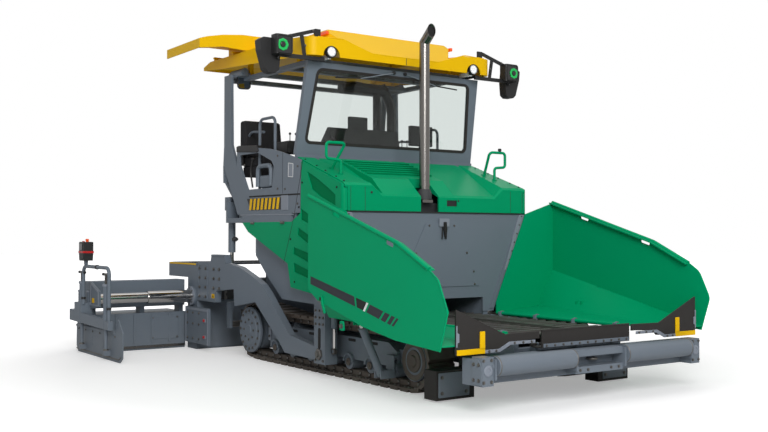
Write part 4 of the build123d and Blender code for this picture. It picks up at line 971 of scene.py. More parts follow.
@dataclass
class Platform:
    """Marks, window fittings and small pieces on the platform's sides, and the seats."""

    face: float = -1275
    stripes: int = 8
    stripe_step: float = 94

    def build(self) -> None:
        """Make all of it."""
        self.hazard()
        self.window()
        self.marks()
        self.fittings()
        self.seats()

    def hazard(self) -> None:
        """Warning stripes low on the side."""
        back = [(-1556, 1924), (-723, 1920), (-722, 1785), (-1457, 1785)]
        MACHINE.twice(BLACK, skin("hazard_back", back, self.face, 4, 0.3))
        slats = []
        for k in range(self.stripes):
            x = -1492 + self.stripe_step * k
            slat = [(x + 26, 1920), (x + 76, 1920), (x + 48, 1789), (x - 2, 1789)]
            slats.append(skin(f"hazard_{k}", slat, self.face - 3, 3, 0))
        MACHINE.twice(YELLOW, joined("hazard_bars", slats))

    def window(self) -> None:
        """Rounded housing with a lever behind the side window, and the rest on top."""
        y = self.face + 24
        hoop = [(-1330, y, 2060), (-1330, y, 2300), (-1010, y, 2300), (-1010, y, 2060)]
        box = bar("window_box", (-1300, y, 2040), (-1040, y + 90, 2190), 26, 4)
        MACHINE.twice(GREY, tube("window_hoop", hoop, 26, 70), box)
        y += 20
        ball = [(0, 0), (4, 15), (14, 21), (28, 21), (38, 13), (40, 0)]
        rest = [(-1828, 2500), (-1828, 2566), (-1780, 2574), (-1300, 2548), (-1262, 2474), (-1300, 2462)]
        MACHINE.twice(
            BLACK,
            tube("window_lever", [(-1500, y, 2060), (-1560, y, 2260), (-1500, y, 2390)], 11, 60),
            turned("lever_ball", ball, (-1500, y, 2380), (0.5, 0, 0.86), 16),
            plate("side_rest", rest, (self.face - 12, self.face + 64), SIDE, 9),
        )

    def marks(self) -> None:
        """Seams, gaps and the blank sign."""
        y = self.face
        gap = [(-1500, 1938), (-310, 1934), (-310, 1952), (-1506, 1956)]
        seam = skin("side_seam", rect(-699, 1960, -695, 2424), y, 1.2, 0.2)
        MACHINE.twice(MATT_BLACK, skin("side_gap", gap, y, 1.5, 0.3), seam)
        rear = [(-254, y, 2300), (-437, y, 1703), (-664, y, 1186)]
        for i, (start, end) in enumerate(zip(rear, rear[1:])):
            MACHINE.twice(MATT_BLACK, strip(f"cover_seam_{i}", start, end, 7, 1, OUT, 0.2))
        sign = [(-566, 2142), (-456, 2132), (-452, 2286), (-562, 2300)]
        MACHINE.twice(PALE_GREY, skin("blank_sign", sign, y, 4, 1, 6))
        MACHINE.twice(LETTER, skin("blank_sign_edge", sign, y - 4, 2, 0.5, 6, 7))

    def fittings(self) -> None:
        """Screws, block, hinges and edge of the sides, the low rail and the lift rams' valves."""
        y = self.face
        screws = [(-811, 2393), (-808, 2020), (-1620, 2330), (-360, 2250), (-360, 1840), (-640, 2010)]
        covers = [(-260, 2066), (-511, 1450), (-330, 1800), (440, 1990), (430, 1180), (380, 940),
                  (-420, 980)]
        MACHINE.twice(WORN, bolts("side_screws", [(x, y, z) for x, z in screws], OUT, 9))
        MACHINE.twice(MATT_BLACK, bolts("cover_screws", [(x, y, z) for x, z in covers], OUT, 8))
        for i, x in enumerate((-1404, -688)):
            barrel = [(0, 0), (0, 14), (70, 14), (70, 0)]
            MACHINE.twice(WORN, turned(f"side_hinge_{i}", barrel, (x - 35, y - 6, 1634), AHEAD, 12))
        edge = strip("beam_edge", (-1724, y, 1733), (-444, y, 1724), 12, 4, OUT, 1)
        MACHINE.twice(PALE_GREY, skin("side_block", rect(-722, 1773, -564, 1939), y, 6, 2, 8), edge)
        rail = [(-1985, -1110, 2571), (-1774, -1110, 2752), (-1441, -1110, 2725)]
        MACHINE.twice(GREY, tube("rail_low", rail, 16, 60))
        valve = [(0, 0), (0, 30), (50, 30), (58, 20), (90, 18), (90, 0)]
        LIFT_BARREL.twice(CAST, turned("lift_valve", valve, (-2180, -1137, 1440), AHEAD, 16))

    def seats(self) -> None:
        """Cushion and back of both seats, crowned and drawn in at their seams, with their arms."""
        for name, low, high, crown in (
            ("seat_cushion", (-1890, -1170, 2318), (-1370, -650, 2440), UP),
            ("seat_back", (-1985, -1160, 2420), (-1855, -660, 2900), AHEAD),
        ):
            cushion = padded_block(name, low, high, crown)
            MACHINE.twice(SEAT, cushion)
        MACHINE.twice(
            BLACK,
            bar("seat_arm", (-1860, -1205, 2500), (-1520, -1165, 2550), 14, 3),
            bar("seat_arm_inner", (-1860, -655, 2500), (-1520, -615, 2550), 14, 3),
            bar("seat_arm_post", (-1880, -1198, 2340), (-1830, -1172, 2520), 8),
        )


def padded_block(name: str, low: Point, high: Point, crown: Point) -> bpy.types.Object:
    """Cushion: a block with drawn-in sides, a crowned face and two sewn channels.

    Args:
        name: the piece's name.
        low, high: its corners in millimetres.
        crown: direction of the face that is crowned.
    Returns:
        The cushion.
    """
    rise, depth, width, seams = 0.022, 0.008, 0.035, (-0.4, 0.4)
    piece = bar(name, low, high, 26, 3)
    centre, half = (at(*low) + at(*high)) / 2, (at(*high) - at(*low)) / 2
    with editing(piece):
        bpy.ops.mesh.subdivide(number_cuts=2)
    modify(piece, "REMESH", mode="VOXEL", voxel_size=0.012)
    up = Vector(crown)
    for vertex in piece.data.vertices:
        part = Vector([(vertex.co[i] - centre[i]) / half[i] for i in range(3)])
        flat = [part[i] for i in range(3) if not crown[i]]
        dome = (1 - flat[0] ** 2) * (1 - flat[1] ** 2)
        channel = sum(math.exp(-(((flat[0] - seam) / width) ** 2)) for seam in seams)
        vertex.co += up * (rise * dome - depth * channel) * max(part.dot(up), 0.0)
    modify(piece, "SMOOTH", factor=0.5, iterations=3)
    return shade(piece, 60)


# ------------------------------------------------------------------ hopper
@dataclass
class Hopper:
    """Stripes and edges of the wings, and the fittings of the bulkhead, the flaps and the push beam."""

    panel: float = -1690
    bulkhead_face: float = 550
    flap_face: float = 2706

    def build(self) -> None:
        """Make all of it."""
        self.stripes()
        self.wings()
        self.bulkhead()
        self.flaps()
        self.beam()

    def stripes(self) -> None:
        """Dark slanted stripe low on each wing, left bare of words."""
        for name, outline, finish in (
            ("stripe_long", [(612, 1090), (1397, 928), (1415, 837), (612, 1012)], MARK_DARK),
            ("stripe_square", [(1427, 921), (1599, 886), (1545, 810), (1442, 833)], MATT_BLACK),
            ("stripe_slash", [(1601, 886), (1630, 880), (1572, 801), (1543, 807)], LETTER),
            ("stripe_1", [(1655, 871), (1867, 822), (1797, 749), (1597, 797)], MARK_DARK),
            ("stripe_2", [(1893, 815), (1964, 799), (1893, 726), (1825, 744)], MARK_DARK),
            ("stripe_3", [(1992, 793), (2043, 782), (1972, 709), (1922, 721)], MARK_DARK),
            ("stripe_4", [(2068, 777), (2096, 770), (2022, 699), (1992, 706)], MARK_DARK),
        ):
            WING.twice(finish, skin(name, outline, self.panel, 1.2, 0))

    def wings(self) -> None:
        """Latch hook, edge bead and rods that show on the wings."""
        y = self.panel
        latch = [(800, 905), (842, 905), (850, 860), (905, 742), (880, 735), (822, 850), (800, 860)]
        front = [(2520, y + 1, 1215), (2650, y + 1, 1130), (2775, y + 1, 870), (2670, y + 1, 540)]
        lug = [(1160, 600), (1240, 600), (1232, 690), (1168, 690)]
        hook, bead = skin("wing_hook", latch, y, 16, 3), tube("wing_bead", front, 6, 40)
        WING.twice(GREEN, hook, bead, skin("wing_lug", lug, y, 12, 3, 14))
        for i, (x, z) in enumerate(((1080, 1690), (1960, 1424))):
            ring = [(x - 68, z - 6), (x + 60, z - 44), (x + 68, z + 6), (x - 60, z + 44)]
            WING.twice(GREEN, skin(f"wing_hole_edge_{i}", ring, y, 2, 0.5, 20, 7))
        WING.twice(MATT_BLACK, skin("wing_catch", rect(806, 860, 836, 892), y - 15, 3, 1))
        rod = [(770, y + 30, 850), (770, y - 10, 850), (838, y - 10, 842)]
        bolt_head = bolts("wing_lug_bolt", [(1200, y - 12, 640)], OUT, 16)
        WING.twice(WORN, tube("wing_latch_rod", rod, 7, 14), bolt_head)

    def bulkhead(self) -> None:
        """Hook block, bolts and seal strips on the wall behind the hopper."""
        x = self.bulkhead_face
        MACHINE.once(PALE_GREY, plate("bulkhead_block", rect(-24, 1588, 116, 1678), (x, 562), END, 3, 8))
        hook = [(30, 1640), (62, 1640), (70, 1560), (60, 1468), (40, 1468), (26, 1560)]
        MACHINE.once(MATT_BLACK, plate("bulkhead_hook", hook, (562, 582), END, 4))
        for i, y in enumerate((14, 70)):
            prong = [(566, y, 1590), (566, y - 4, 1480), (560, y - 4, 1452)]
            MACHINE.once(MATT_BLACK, tube(f"bulkhead_prong_{i}", prong, 6, 12))
        corners = [(x, y, z) for z in (1602, 1664) for y in (-10, 102)]
        rim = [(-150, 1600), (195, 1600), (-330, 1300), (375, 1300), (-430, 1090), (475, 1090),
               (-470, 950), (490, 950), (0, 940)]
        rim_bolts = bolts("bulkhead_bolts", [(x - 5, y, z) for y, z in rim], AHEAD, 9)
        MACHINE.once(WORN, bolts("bulkhead_block_bolts", corners, AHEAD, 8), rim_bolts)
        seal = [(-1160, 1730), (-1236, 1730), (-1010, 1100), (-934, 1100)]
        MACHINE.twice(PALE_GREY, plate("bulkhead_seal", seal, (535, x), END, 2))
        heads = [(x, -(972 + 226 * k / 6), 1115 + 600 * k / 6) for k in range(7)]
        MACHINE.twice(WORN, bolts("bulkhead_seal_bolts", heads, AHEAD, 7))

    def flaps(self) -> None:
        """Yellow angles, clamping strips, hinges and bolts of the rubber guards in front."""
        x = self.flap_face
        foot = plate("flap_foot", rect(-1540, 502, -1236, 548), (x, x + 9), END, 2, 5)
        WING.twice(YELLOW, foot, plate("flap_upright", rect(-1292, 540, -1236, 690), (x, x + 9), END, 2, 6))
        low = [(-1236, 503), (-1066, 503), (-945, 557), (-655, 557), (-655, 585), (-960, 585),
               (-1080, 531), (-1236, 531)]
        hinge = [(-1548, 570), (-1536, 570), (-1536, 605), (-1516, 612), (-1516, 680), (-1536, 690),
                 (-1536, 750), (-1548, 750)]
        clamp = plate("flap_strip", low, (x, x + 6), END, 2)
        WING.twice(PALE_GREY, clamp, plate("flap_hinge", hinge, (x, x + 8), END, 2))
        heads = grid((x + 6,), (-1190, -1110), (517,)) + grid((x + 6,), (-900, -800, -700), (571,))
        WING.twice(WORN, bolts("flap_bolts", heads, AHEAD, 8))
        APRON.once(GREY, bar("apron_strip", (x, -556, 506), (x + 6, 556, 540), 2))
        APRON.once(WORN, bolts("apron_bolts", [(x + 6, -520 + 104 * k, 523) for k in range(11)], AHEAD, 8))
        APRON.once(RUBBER, bar("apron_lip", (x - 1, -566, 652), (x + 4, 566, 664), 2))

    def beam(self) -> None:
        """Plates, bolts and bearings of the beam that carries the push rollers."""
        end = [(2740, 262), (2862, 262), (2862, 420), (2820, 478), (2740, 478)]
        cap = [(0, 40), (10, 40), (14, 34), (14, 0)]
        boss = [(0, 46), (6, 46), (8, 40), (8, 24), (2, 22), (2, 0)]
        bearing = turned("roller_bearing", cap, (2836, -1276, 409), OUT, 20)
        BEAM.twice(GREY, skin("beam_end", end, -1400, 8, 2, 12), bearing)
        BEAM.twice(PALE_GREY, turned("beam_boss", boss, (2866, -1338, 380), AHEAD, 20))
        BEAM.twice(
            WORN,
            bolts("beam_end_bolts", grid((2765, 2830), (-1408,), (300, 430)), OUT, 11),
            bolts("beam_face_bolts", grid((2866,), (-1385, -1300), (285, 465)), AHEAD, 10),
        )
        eye = [(2735, -40, 380), (2800, -40, 380), (2800, 40, 380), (2735, 40, 380)]
        middle = bolts("beam_middle_bolts", grid((2856,), (-250, -150, 150, 250), (300,)), AHEAD, 10)
        BEAM.once(WORN, middle, tube("tow_eye", eye, 13, 34))
        ring = [(0, 85.2), (2, 87), (10, 87), (12, 85.2)]
        rings = [turned(f"ring_{y}", ring, (2836, y, 409), (0, 1, 0), 40) for y in (-1238, -343)]
        ROLLER.twice(WORN, joined("roller_end_rings", rings))


# ------------------------------------------------------------------ undercarriage
@dataclass
class Undercarriage:
    """Pads, links and bolts of the tracks, and the frames' fittings."""

    contact: float = 3060
    shoes: int = 50
    sprocket: Point = (-1680, 350, 340)  # X, Z and radius
    idler: Point = (1500, 298, 298)
    carrier: Flat = (-830, 598)
    outer: float = -1122
    width: float = 305
    roller_step: float = 393
    guard: float = 2086
    guide: float = -1300
    rod: Flat = (300, -1215)

    @property
    def face(self) -> float:
        """Y of the track frame's outer face."""
        return self.outer + 45

    def build(self) -> None:
        """Make all of it."""
        self.shoe_parts()
        self.frame()
        self.drive()
        self.guides()

    def line(self, inset: float) -> list[Flat]:
        """Closed line of the track.

        Args:
            inset: how far inside the pads' faces it runs.
        Returns:
            Its corners as X and Z.
        """
        (sx, sz, sr), (ix, iz, ir) = self.sprocket, self.idler
        points = [(-self.contact / 2, inset)]
        points += arc((ix, iz), ir - inset, [-90 + 15 * k for k in range(13)])
        points.append((self.carrier[0], self.carrier[1] - inset))
        return points + arc((sx, sz), sr - inset, [84 + 184 * k / 12 for k in range(13)])

    def stations(self, inset: float, shift: float = 0.0) -> Iterator[tuple[Flat, Flat]]:
        """Place and direction of travel at each shoe.

        Args:
            inset: how far inside the pads' faces.
            shift: how far along, in shoes.
        Yields:
            The place and the direction as X and Z.
        """
        ring = self.line(0)
        ring.append(ring[0])
        spans = [math.dist(a, b) for a, b in zip(ring, ring[1:])]
        pitch = sum(spans) / self.shoes
        for shoe in range(self.shoes):
            left = (shoe + 0.5 + shift) * pitch % sum(spans)
            for (a, b), span in zip(zip(ring, ring[1:]), spans):
                if left <= span:
                    u, w = (b[0] - a[0]) / span, (b[1] - a[1]) / span
                    yield (a[0] + u * left - w * inset, a[1] + w * left + u * inset), (u, w)
                    break
                left -= span

    def moves(self, inset: float, y: float, shift: float = 0.0) -> list[Matrix]:
        """Turn and place of a copy at each shoe: X along the track, Z towards the ground side.

        Args:
            inset: how far inside the pads' faces.
            y: the copy's Y.
            shift: how far along, in shoes.
        Returns:
            One matrix for each shoe.
        """
        made = []
        for (x, z), (ux, uz) in self.stations(inset, shift):
            turn = Matrix(((ux, 0, uz), (0, 1, 0), (uz, 0, -ux))).to_4x4()
            made.append(Matrix.Translation(at(x, y, z)) @ turn)
        return made

    def shoe_parts(self) -> None:
        """Rubber pad, link plates and bolts of every shoe."""
        middle, half = self.outer + self.width / 2, self.width / 2
        pad = at_origin(bar("pad", (-44, -half + 12, -12), (44, half - 12, 1), 5, 2))
        MACHINE.twice(RUBBER, copies("track_pads", pad, self.moves(2.5, middle)))
        outline = [(-66, 0), (-52, -26), (52, -26), (66, 0), (52, 26), (-52, 26)]
        link = at_origin(plate("link", outline, (0, 12), SIDE, 3))
        MACHINE.twice(TRACK, copies("track_links", link, self.moves(74, middle - 87.5, 0.5)))
        pin = model([(0, 17), (8, 17), (12, 12), (12, 0)], OUT, 10)
        head = model([(0, 13), (9, 13), (11, 10), (11, 0)], DOWN, 8)
        shifts = [Matrix.Translation((x, -0.11, 0)) for x in (-0.03, 0.03)]
        spots = [move @ shift for move in self.moves(40.5, middle) for shift in shifts]
        pins = copies("track_pins", pin, self.moves(74, middle - 87.6))
        MACHINE.twice(WORN, pins, copies("shoe_bolts", head, spots))

    def frame(self) -> None:
        """Black patches as painted shade in the slots of the track's frame, roller guards and caps, the
        idler and the rubber guard's plate.
        """
        y = self.face
        # painted shade: a black patch over each slot of the frame
        for i, x in enumerate((-760, -370, 30, 430, 830)):
            MACHINE.twice(MATT_BLACK, skin(f"frame_slot_{i}", rect(x - 70, 392, x + 70, 422), y, 1.5, 0.4, 14))
        cap = [(0, 40), (7, 38), (9, 30), (9, 14), (14, 12), (14, 0)]
        for i in range(7):
            x = -1180 + self.roller_step * i
            arch = arc((x, 182), 92, [20 * k for k in range(10)])
            inner = arc((x, 182), 70, [20 * k for k in range(9, -1, -1)])
            MACHINE.twice(GREY, skin(f"roller_arch_{i}", arch + inner, y, 34, 2))
            MACHINE.twice(TRACK, turned(f"roller_cap_{i}", cap, (x, y - 22, 180), OUT, 20))
        x, z, _ = self.idler
        hub = [(0, 110), (10, 104), (10, 60), (22, 50), (22, 0)]
        rim = turned("idler_rim", [(0, 186), (6, 182), (6, 140), (0, 132)], (x, y, z), OUT, 36)
        MACHINE.twice(TRACK, turned("idler_cap", hub, (x, y, z), OUT, 30), rim)
        x = self.guard
        MACHINE.twice(GREY, plate("guard_plate", rect(-1240, 40, -880, 262), (x - 6, x), END, 3, 10))
        MACHINE.twice(WORN, bolts("guard_bolts", grid((x,), (-1200, -920), (80, 220)), AHEAD, 12))

    def drive(self) -> None:
        """Cover and bracket of the final drive, with their bolts."""
        x, y, z = -1700, self.outer - 32, 350
        cover = [(0, 268), (8, 258), (8, 196), (16, 186), (16, 60), (24, 52), (24, 0)]
        MACHINE.twice(GREY, turned("drive_cover", cover, (x, y, z), OUT, 44))
        outer = [(x + a, y - 8, z + b) for a, b in circle(16, 228)]
        inner = [(x + a, y - 16, z + b) for a, b in circle(8, 120)]
        MACHINE.twice(WORN, bolts("drive_bolts", outer, OUT, 12))
        MACHINE.twice(WORN, bolts("drive_inner_bolts", inner, OUT, 10))
        y = self.face
        bracket = [(-1352, 250), (-1300, 250), (-1292, 470), (-1352, 470)]
        MACHINE.twice(PALE_GREY, plate("drive_bracket", bracket, (y - 14, y + 10), SIDE, 3))
        MACHINE.twice(WORN, bolts("bracket_bolts", grid((-1326,), (y - 14,), (300, 420)), OUT, 12))

    def guides(self) -> None:
        """Bolts, nut, rod and hook of the tow point's guides."""
        y = self.guide
        nut = [(0, 62), (20, 62), (26, 54), (26, 30), (40, 28), (40, 0)]
        eye = [(-17, 14), (-17, 34), (17, 34), (17, 14), (-17, 14)]
        MACHINE.twice(
            WORN,
            bolts("guide_bolts", grid((70, 144, 218), (y,), (560, 630, 700)), OUT, 11),
            bolts("guide_low_bolts", grid((70, 218), (y,), (180,)), OUT, 11),
            turned("tow_nut", nut, (TOW_PIN[0], y, TOW_PIN[1]), OUT, 6, 0),
            turned("guide_eye", eye, (*self.rod, 285), (0, 1, 0), 20),
        )
        # painted shade: a black patch over the guide's slot
        MACHINE.twice(MATT_BLACK, skin("guide_slot_shade", rect(118, 300, 170, 520), y, 1.5, 0.4, 22))
        MACHINE.twice(CHROME, tube("guide_rod", [(*self.rod, 520), (*self.rod, 310)], 15))
        ram = [(0, 0), (0, 34), (250, 34), (258, 26), (262, 16)]
        MACHINE.twice(
            GREY,
            turned("guide_ram", ram, (*self.rod, 780), DOWN, 20),
            bar("guide_lug", (254, -1232, 262), (312, -1198, 300), 4),
            bar("guide_top", (254, -1245, 735), (330, -1185, 790), 5),
        )


# ------------------------------------------------------------------ towed screed
@dataclass
class Screed:
    """Fittings of the tow arms, the screed, its extensions and their end gates."""

    arm: float = -1275
    limit: float = -1315
    gate: float = -2612
    rods_x: tuple[float, float] = (-2480, -3350)
    rod_y: float = -2660
    threads: int = 14

    def build(self) -> None:
        """Make all of it."""
        self.arms()
        self.limits()
        self.walkway()
        self.end_gates()
        self.spindles()
        self.extension()
        self.station()

    def arms(self) -> None:
        """Bolted joints, stops and warning plates of the tow arms."""
        y = self.arm
        cap = [(0, 66), (12, 64), (16, 56), (16, 30), (22, 26), (22, 0)]
        flange = skin("arm_flange", rect(-2925, 652, -2640, 1120), y, 6, 3, 18, 24)
        SCREED.twice(GREY, flange, turned("tow_pin_cap", cap, (TOW_PIN[0], y, TOW_PIN[1]), OUT, 28))
        rib = [(-2530, y - 2, 1231), (-2155, y - 2, 1231), (-2117, y - 2, 1140)]
        for i, (start, end) in enumerate(zip(rib, rib[1:])):
            SCREED.twice(GREY, strip(f"arm_rib_{i}", start, end, 20, 5, OUT, 2))
        front = bolts("arm_bolts", grid((-2460, -2300), (y,), (820, 940, 1060)), OUT, 15)
        rear = bolts("arm_rear_bolts", grid((-2880, -2700), (y,), (700, 820, 940, 1060)), OUT, 14)
        SCREED.twice(WORN, front, rear)
        notch = [(-2150, 690), (-2075, 700), (-2075, 740), (-2110, 745), (-2110, 770), (-2075, 775),
                 (-2075, 812), (-2150, 806)]
        mark = skin("arm_sticker_mark", [(-2500, 700), (-2460, 700), (-2480, 736)], y - 1.2, 0.8, 0)
        SCREED.twice(MATT_BLACK, skin("arm_notch", notch, y, 3, 1), mark)
        SCREED.twice(YELLOW, skin("arm_sticker", rect(-2520, 690, -2440, 745), y, 1.2, 0, 6))

    def limits(self) -> None:
        """Rims, latches, bolts and collar of the limiting plates."""
        y = self.limit
        collar = [(0, 125), (12, 125), (16, 118), (16, 84)]
        SCREED.twice(
            PALE_GREY,
            bar("limit_rim", (-3195, y - 22, 92), (-3165, y - 15, 552), 3),
            bar("limit_rim_front", (-2532, y - 22, 92), (-2504, y - 15, 552), 3),
            bar("limit_rail", (-3160, y - 22, 512), (-2536, y - 15, 544), 3),
            turned("tube_collar", collar, (-3100, -1300, 690), OUT, 40),
        )
        for i, z in enumerate((400, 190)):
            base = bar(f"limit_latch_base_{i}", (-2640, y - 24, z - 26), (-2570, y - 15, z + 26), 4)
            latch = bar(f"limit_latch_{i}", (-2625, y - 38, z - 16), (-2585, y - 24, z + 16), 6, 3)
            SCREED.twice(PALE_GREY, base)
            SCREED.twice(RED, latch)
        ring = [(-3100 + a, -1316, 690 + b) for a, b in circle(8, 106)]
        heads = bolts("limit_bolts", grid((-3130, -2960, -2780), (y - 15,), (150, 340, 480)), OUT, 11)
        SCREED.twice(WORN, heads, bolts("collar_bolts", ring, OUT, 8))

    def walkway(self) -> None:
        """Edge and treads of the walkway, and the heaters' boxes."""
        edge = strip("walkway_edge", (-3850, -1275, 1108), (-3000, -1275, 1108), 22, 5, OUT, 2)
        SCREED.twice(YELLOW, edge)
        treads = [
            bar(f"tread_{x}", (x, -1240, 1119.5), (x + 10, 1240, 1123), 1.5, 1)
            for x in range(-3840, -3008, 52)
        ]
        boxes = [
            bar(f"heater_{y}", (-2949, y, 640), (-2920, y + 240, 800), 8) for y in range(-1000, 921, 480)
        ]
        SCREED.once(CAST, joined("walkway_treads", treads), joined("heater_boxes", boxes))

    def end_gates(self) -> None:
        """Runner, edges, rail, bolts and pad of the end gates."""
        y = self.gate
        runner = [(-3690, 30), (-2170, 30), (-2110, 62), (-2110, 74), (-2180, 44), (-3690, 44)]
        heads = bolts("gate_bolts", [(-3600 + 260 * k, y, 296) for k in range(6)], OUT, 9)
        GATE.twice(WORN, skin("gate_runner", runner, y, 8, 2), heads)
        flare = [(-2292, y, 350), (-2200, y, 500), (-2050, y, 350), (-2060, y, 60)]
        for i, (start, end) in enumerate(zip(flare, flare[1:])):
            GATE.twice(GREY, strip(f"gate_edge_{i}", start, end, 16, 5, OUT, 2))
        pad = skin("gate_pad", rect(-3100, 120, -2700, 250), y, 2, 1, 20, 8)
        GATE.twice(GREY, skin("gate_rail", rect(-3700, 318, -2296, 346), y, 10, 3), pad)

    def spindles(self) -> None:
        """Threaded spindle of each of the gate's rods, with its handle, grips, collar and foot."""
        y = self.rod_y
        thread = [(0, 17)]
        for z in range(4, 4 + 9 * self.threads, 9):
            thread += [(z, 17), (z + 3, 21), (z + 6, 17)]
        thread += [(135, 17), (135, 0)]
        grip = [(0, 0), (0, 16), (34, 18), (40, 12), (40, 0)]
        collar = [(0, 34), (0, 44), (26, 44), (30, 38), (30, 20)]
        foot = [(0, 20), (0, 32), (18, 32), (22, 26), (22, 20)]
        for i, x in enumerate(self.rods_x):
            spindle = turned(f"spindle_{i}", thread, (x, y, 902), UP, 14)
            handle = [(x - 75, y, 1022), (x + 75, y, 1022)]
            EXTENSION.twice(WORN, spindle, tube(f"spindle_handle_{i}", handle, 11))
            grips = [turned(f"grip_{s}", grip, (x + s * 70, y, 1022), (s, 0, 0), 12) for s in (-1, 1)]
            EXTENSION.twice(BLACK, joined(f"spindle_grips_{i}", grips))
            EXTENSION.twice(PALE_GREY, turned(f"rod_collar_{i}", collar, (x, y, 880), UP, 20))
            GATE.twice(WORN, turned(f"rod_foot_{i}", foot, (x, y, 118), UP, 16))

    def extension(self) -> None:
        """Post caps, bracket, lip, ribs and door of the extensions."""
        cap = [(0, 36), (6, 42), (18, 42), (24, 34), (24, 0)]
        for i, x in enumerate((-3380, -3700)):
            EXTENSION.twice(PALE_GREY, turned(f"post_cap_{i}", cap, (x, -2557, 758), UP, 20))
        bracket = [(-2990, 604), (-2990, 786), (-3296, 894), (-3296, 604)]
        EXTENSION.twice(PALE_GREY, skin("end_bracket_rim", bracket, -2570, 8, 2, 10, 18))
        EXTENSION.twice(YELLOW, skin("bracket_sticker", rect(-3240, 640, -3160, 700), -2570, 2, 0, 6))
        EXTENSION.twice(STAINLESS, bar("extension_lip", (-3274, -2560, 24), (-3264, -1310, 58), 3))
        ribs = [bar(f"rib_{y}", (-3272, y, 90), (-3258, y + 30, 470), 4) for y in range(-2500, -1539, 240)]
        door = bar("extension_door", (-3272, -1780, 130), (-3262, -1400, 430), 6)
        EXTENSION.twice(GREY, joined("extension_ribs", ribs), door)
        heads = grid((-3262,), (-1760, -1420), (150, 410))
        EXTENSION.twice(WORN, bolts("extension_door_bolts", heads, AHEAD, 9))

    def station(self) -> None:
        """Control box on its hoop, with its knob, buttons, strap and clamps."""
        y = self.rod_y
        face = [(-3282, 1180), (-3138, 1180), (-3128, 1240), (-3128, 1404), (-3292, 1404), (-3292, 1240)]
        clamps = [
            turned(f"hoop_clamp_{x}", [(-14, 22), (-14, 29), (14, 29), (14, 22)], (x, y, z), way, 16)
            for x, z, way in ((-2380, 620, UP), (-3300, 700, UP), (-2800, 1100, AHEAD))
        ]
        shell = plate("station_shell", face, (y - 66, y + 66), SIDE, 9, 14)
        EXTENSION.twice(BLACK, shell, joined("hoop_clamps", clamps))
        knob = [(0, 0), (0, 17), (16, 17), (20, 22), (34, 22), (40, 14), (40, 0)]
        # painted light: the knob glows with the orange finish though it is no lamp
        EXTENSION.twice(GLOWING_ORANGE, turned("station_knob", knob, (-3170, y, 1402), UP, 20))
        button = model([(0, 11), (8, 11), (11, 8), (11, 0)], UP, 12)
        buttons = spread("station_buttons", button, grid((-3250, -3216), (y - 26, y + 26), (1403,)))
        strap = plate("station_strap", rect(-3296, 1264, -3124, 1290), (y - 70, y + 70), SIDE, 3)
        EXTENSION.twice(RED, buttons, strap)
        EXTENSION.twice(BLACK_GLOSS, skin("station_panel", rect(-3262, 1300, -3158, 1384), y - 66, 4, 1, 8))
        neck = [(-3232, 1118), (-3188, 1118), (-3178, 1182), (-3242, 1182)]
        EXTENSION.twice(GREY, plate("station_neck", neck, (y - 18, y + 18), SIDE, 3))


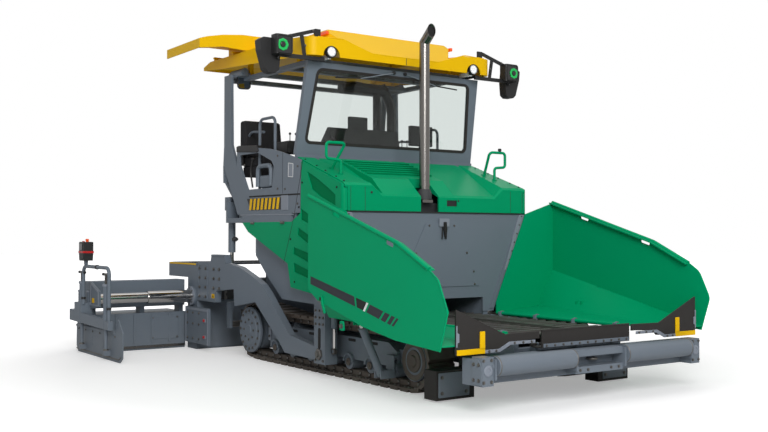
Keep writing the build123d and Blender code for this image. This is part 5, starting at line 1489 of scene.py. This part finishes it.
# ------------------------------------------------------------------ stage
@dataclass
class Stage:
    """White floor, soft lamps and the camera."""

    camera_at: Point = (9.088 + MID, -6.764, 1.509)
    camera_turn: float = 35.122  # degrees from the machine's line of travel
    camera_rise: float = 1.029
    camera_roll: float = 0.08
    lens: float = 46.61
    lit: Point = (0.3, 0, 1.3)  # where the lamps point
    floor_half: float = 60.0
    floor_glow: float = 0.35
    shadow_reach: float = 3.5  # from the origin to where the floor starts to turn white
    shadow_fade: float = 5.0
    sky: float = 0.3
    sky_in_metal: float = 0.6

    def build(self) -> None:
        """Make the floor, the world, the lamps and the camera."""
        self.floor()
        self.world()
        self.lamps()
        self.camera()

    def floor(self) -> None:
        """A wide white floor that keeps the machine's shadow."""
        bpy.ops.mesh.primitive_plane_add(size=2 * self.floor_half, location=(0, 0, 0))
        floor = bpy.context.object
        floor.name = "studio_floor"
        made = bpy.data.materials.new("studio_floor")
        made.use_nodes = True
        nodes = Nodes(made.node_tree)
        path, spot = nodes.add("LightPath"), nodes.add("TexCoord")
        away = nodes.add("VectorMath", operation="LENGTH")
        nodes.fill(away, Vector=spot.outputs["Object"])
        past = nodes.math("SUBTRACT", away.outputs["Value"], self.shadow_reach)
        far = nodes.math("DIVIDE", past, self.shadow_fade, clamp=True)
        glow = nodes.math("ADD", nodes.math("MULTIPLY", far, 1.0 - self.floor_glow), self.floor_glow)
        nodes.fill(
            made.node_tree.nodes["Principled BSDF"], Base_Color=(0.8, 0.8, 0.8), Roughness=0.7,
            Specular_IOR_Level=0.1, Emission_Color=(1, 1, 1),
            Emission_Strength=nodes.math("MULTIPLY", path.outputs["Is Camera Ray"], glow),
        )
        floor.data.materials.append(made)

    def world(self) -> None:
        """White surroundings to the eye, plain soft light for the rest."""
        world = bpy.data.worlds.new("studio")
        bpy.context.scene.world = world
        world.use_nodes = True
        nodes = Nodes(world.node_tree)
        path = nodes.add("LightPath")
        seen = nodes.math("MAXIMUM", path.outputs["Is Camera Ray"], path.outputs["Is Transmission Ray"])
        metal = nodes.math("MULTIPLY", path.outputs["Is Glossy Ray"], self.sky_in_metal)
        seen = nodes.math("MAXIMUM", seen, metal)
        strength = nodes.math("ADD", nodes.math("MULTIPLY", seen, 1.0 - self.sky), self.sky)
        nodes.fill(world.node_tree.nodes["Background"], Color=(1, 1, 1), Strength=strength)

    def lamps(self) -> None:
        """Large soft lamps: a key in front on the right, a fill over the top and one behind."""
        for name, spot, size, power in (
            ("key", (13.0, -7.0, 8.0), 7.0, 1500.0),
            ("top", (1.0, 1.0, 11.0), 9.0, 260.0),
            ("back", (-9.0, 7.0, 6.0), 6.0, 160.0),
        ):
            bpy.ops.object.light_add(type="AREA", location=spot)
            lamp = bpy.context.object
            lamp.name = f"lamp_{name}"
            lamp.data.size = size
            lamp.data.energy = power
            lamp.visible_camera = False
            lamp.visible_transmission = False
            lamp.rotation_euler = (Vector(self.lit) - Vector(spot)).to_track_quat("-Z", "Y").to_euler()

    def camera(self) -> None:
        """The main view's camera."""
        turn, rise = math.radians(self.camera_turn), math.radians(self.camera_rise)
        look = Vector((-math.cos(turn) * math.cos(rise), math.sin(turn) * math.cos(rise), math.sin(rise)))
        bpy.ops.object.camera_add(location=self.camera_at)
        camera = bpy.context.object
        camera.rotation_euler = look.to_track_quat("-Z", "Y").to_euler()
        camera.rotation_euler.rotate_axis("Z", math.radians(self.camera_roll))
        camera.data.lens = self.lens
        camera.data.sensor_width = 36.0
        camera.data.clip_end = 200.0
        bpy.context.scene.camera = camera


def main() -> None:
    """Build every piece in order."""
    logging.basicConfig(level=logging.INFO, format="%(message)s")
    bpy.ops.object.select_all(action="DESELECT")
    bpy.context.scene.view_settings.view_transform = "Standard"
    dress_nodes()
    for group in (Roof(), Screen(), Hood(), Platform(), Hopper(), Undercarriage(), Screed()):
        group.build()
        log.info("%s made", type(group).__name__)
    Stage().build()


if __name__ == "__main__":
    main()
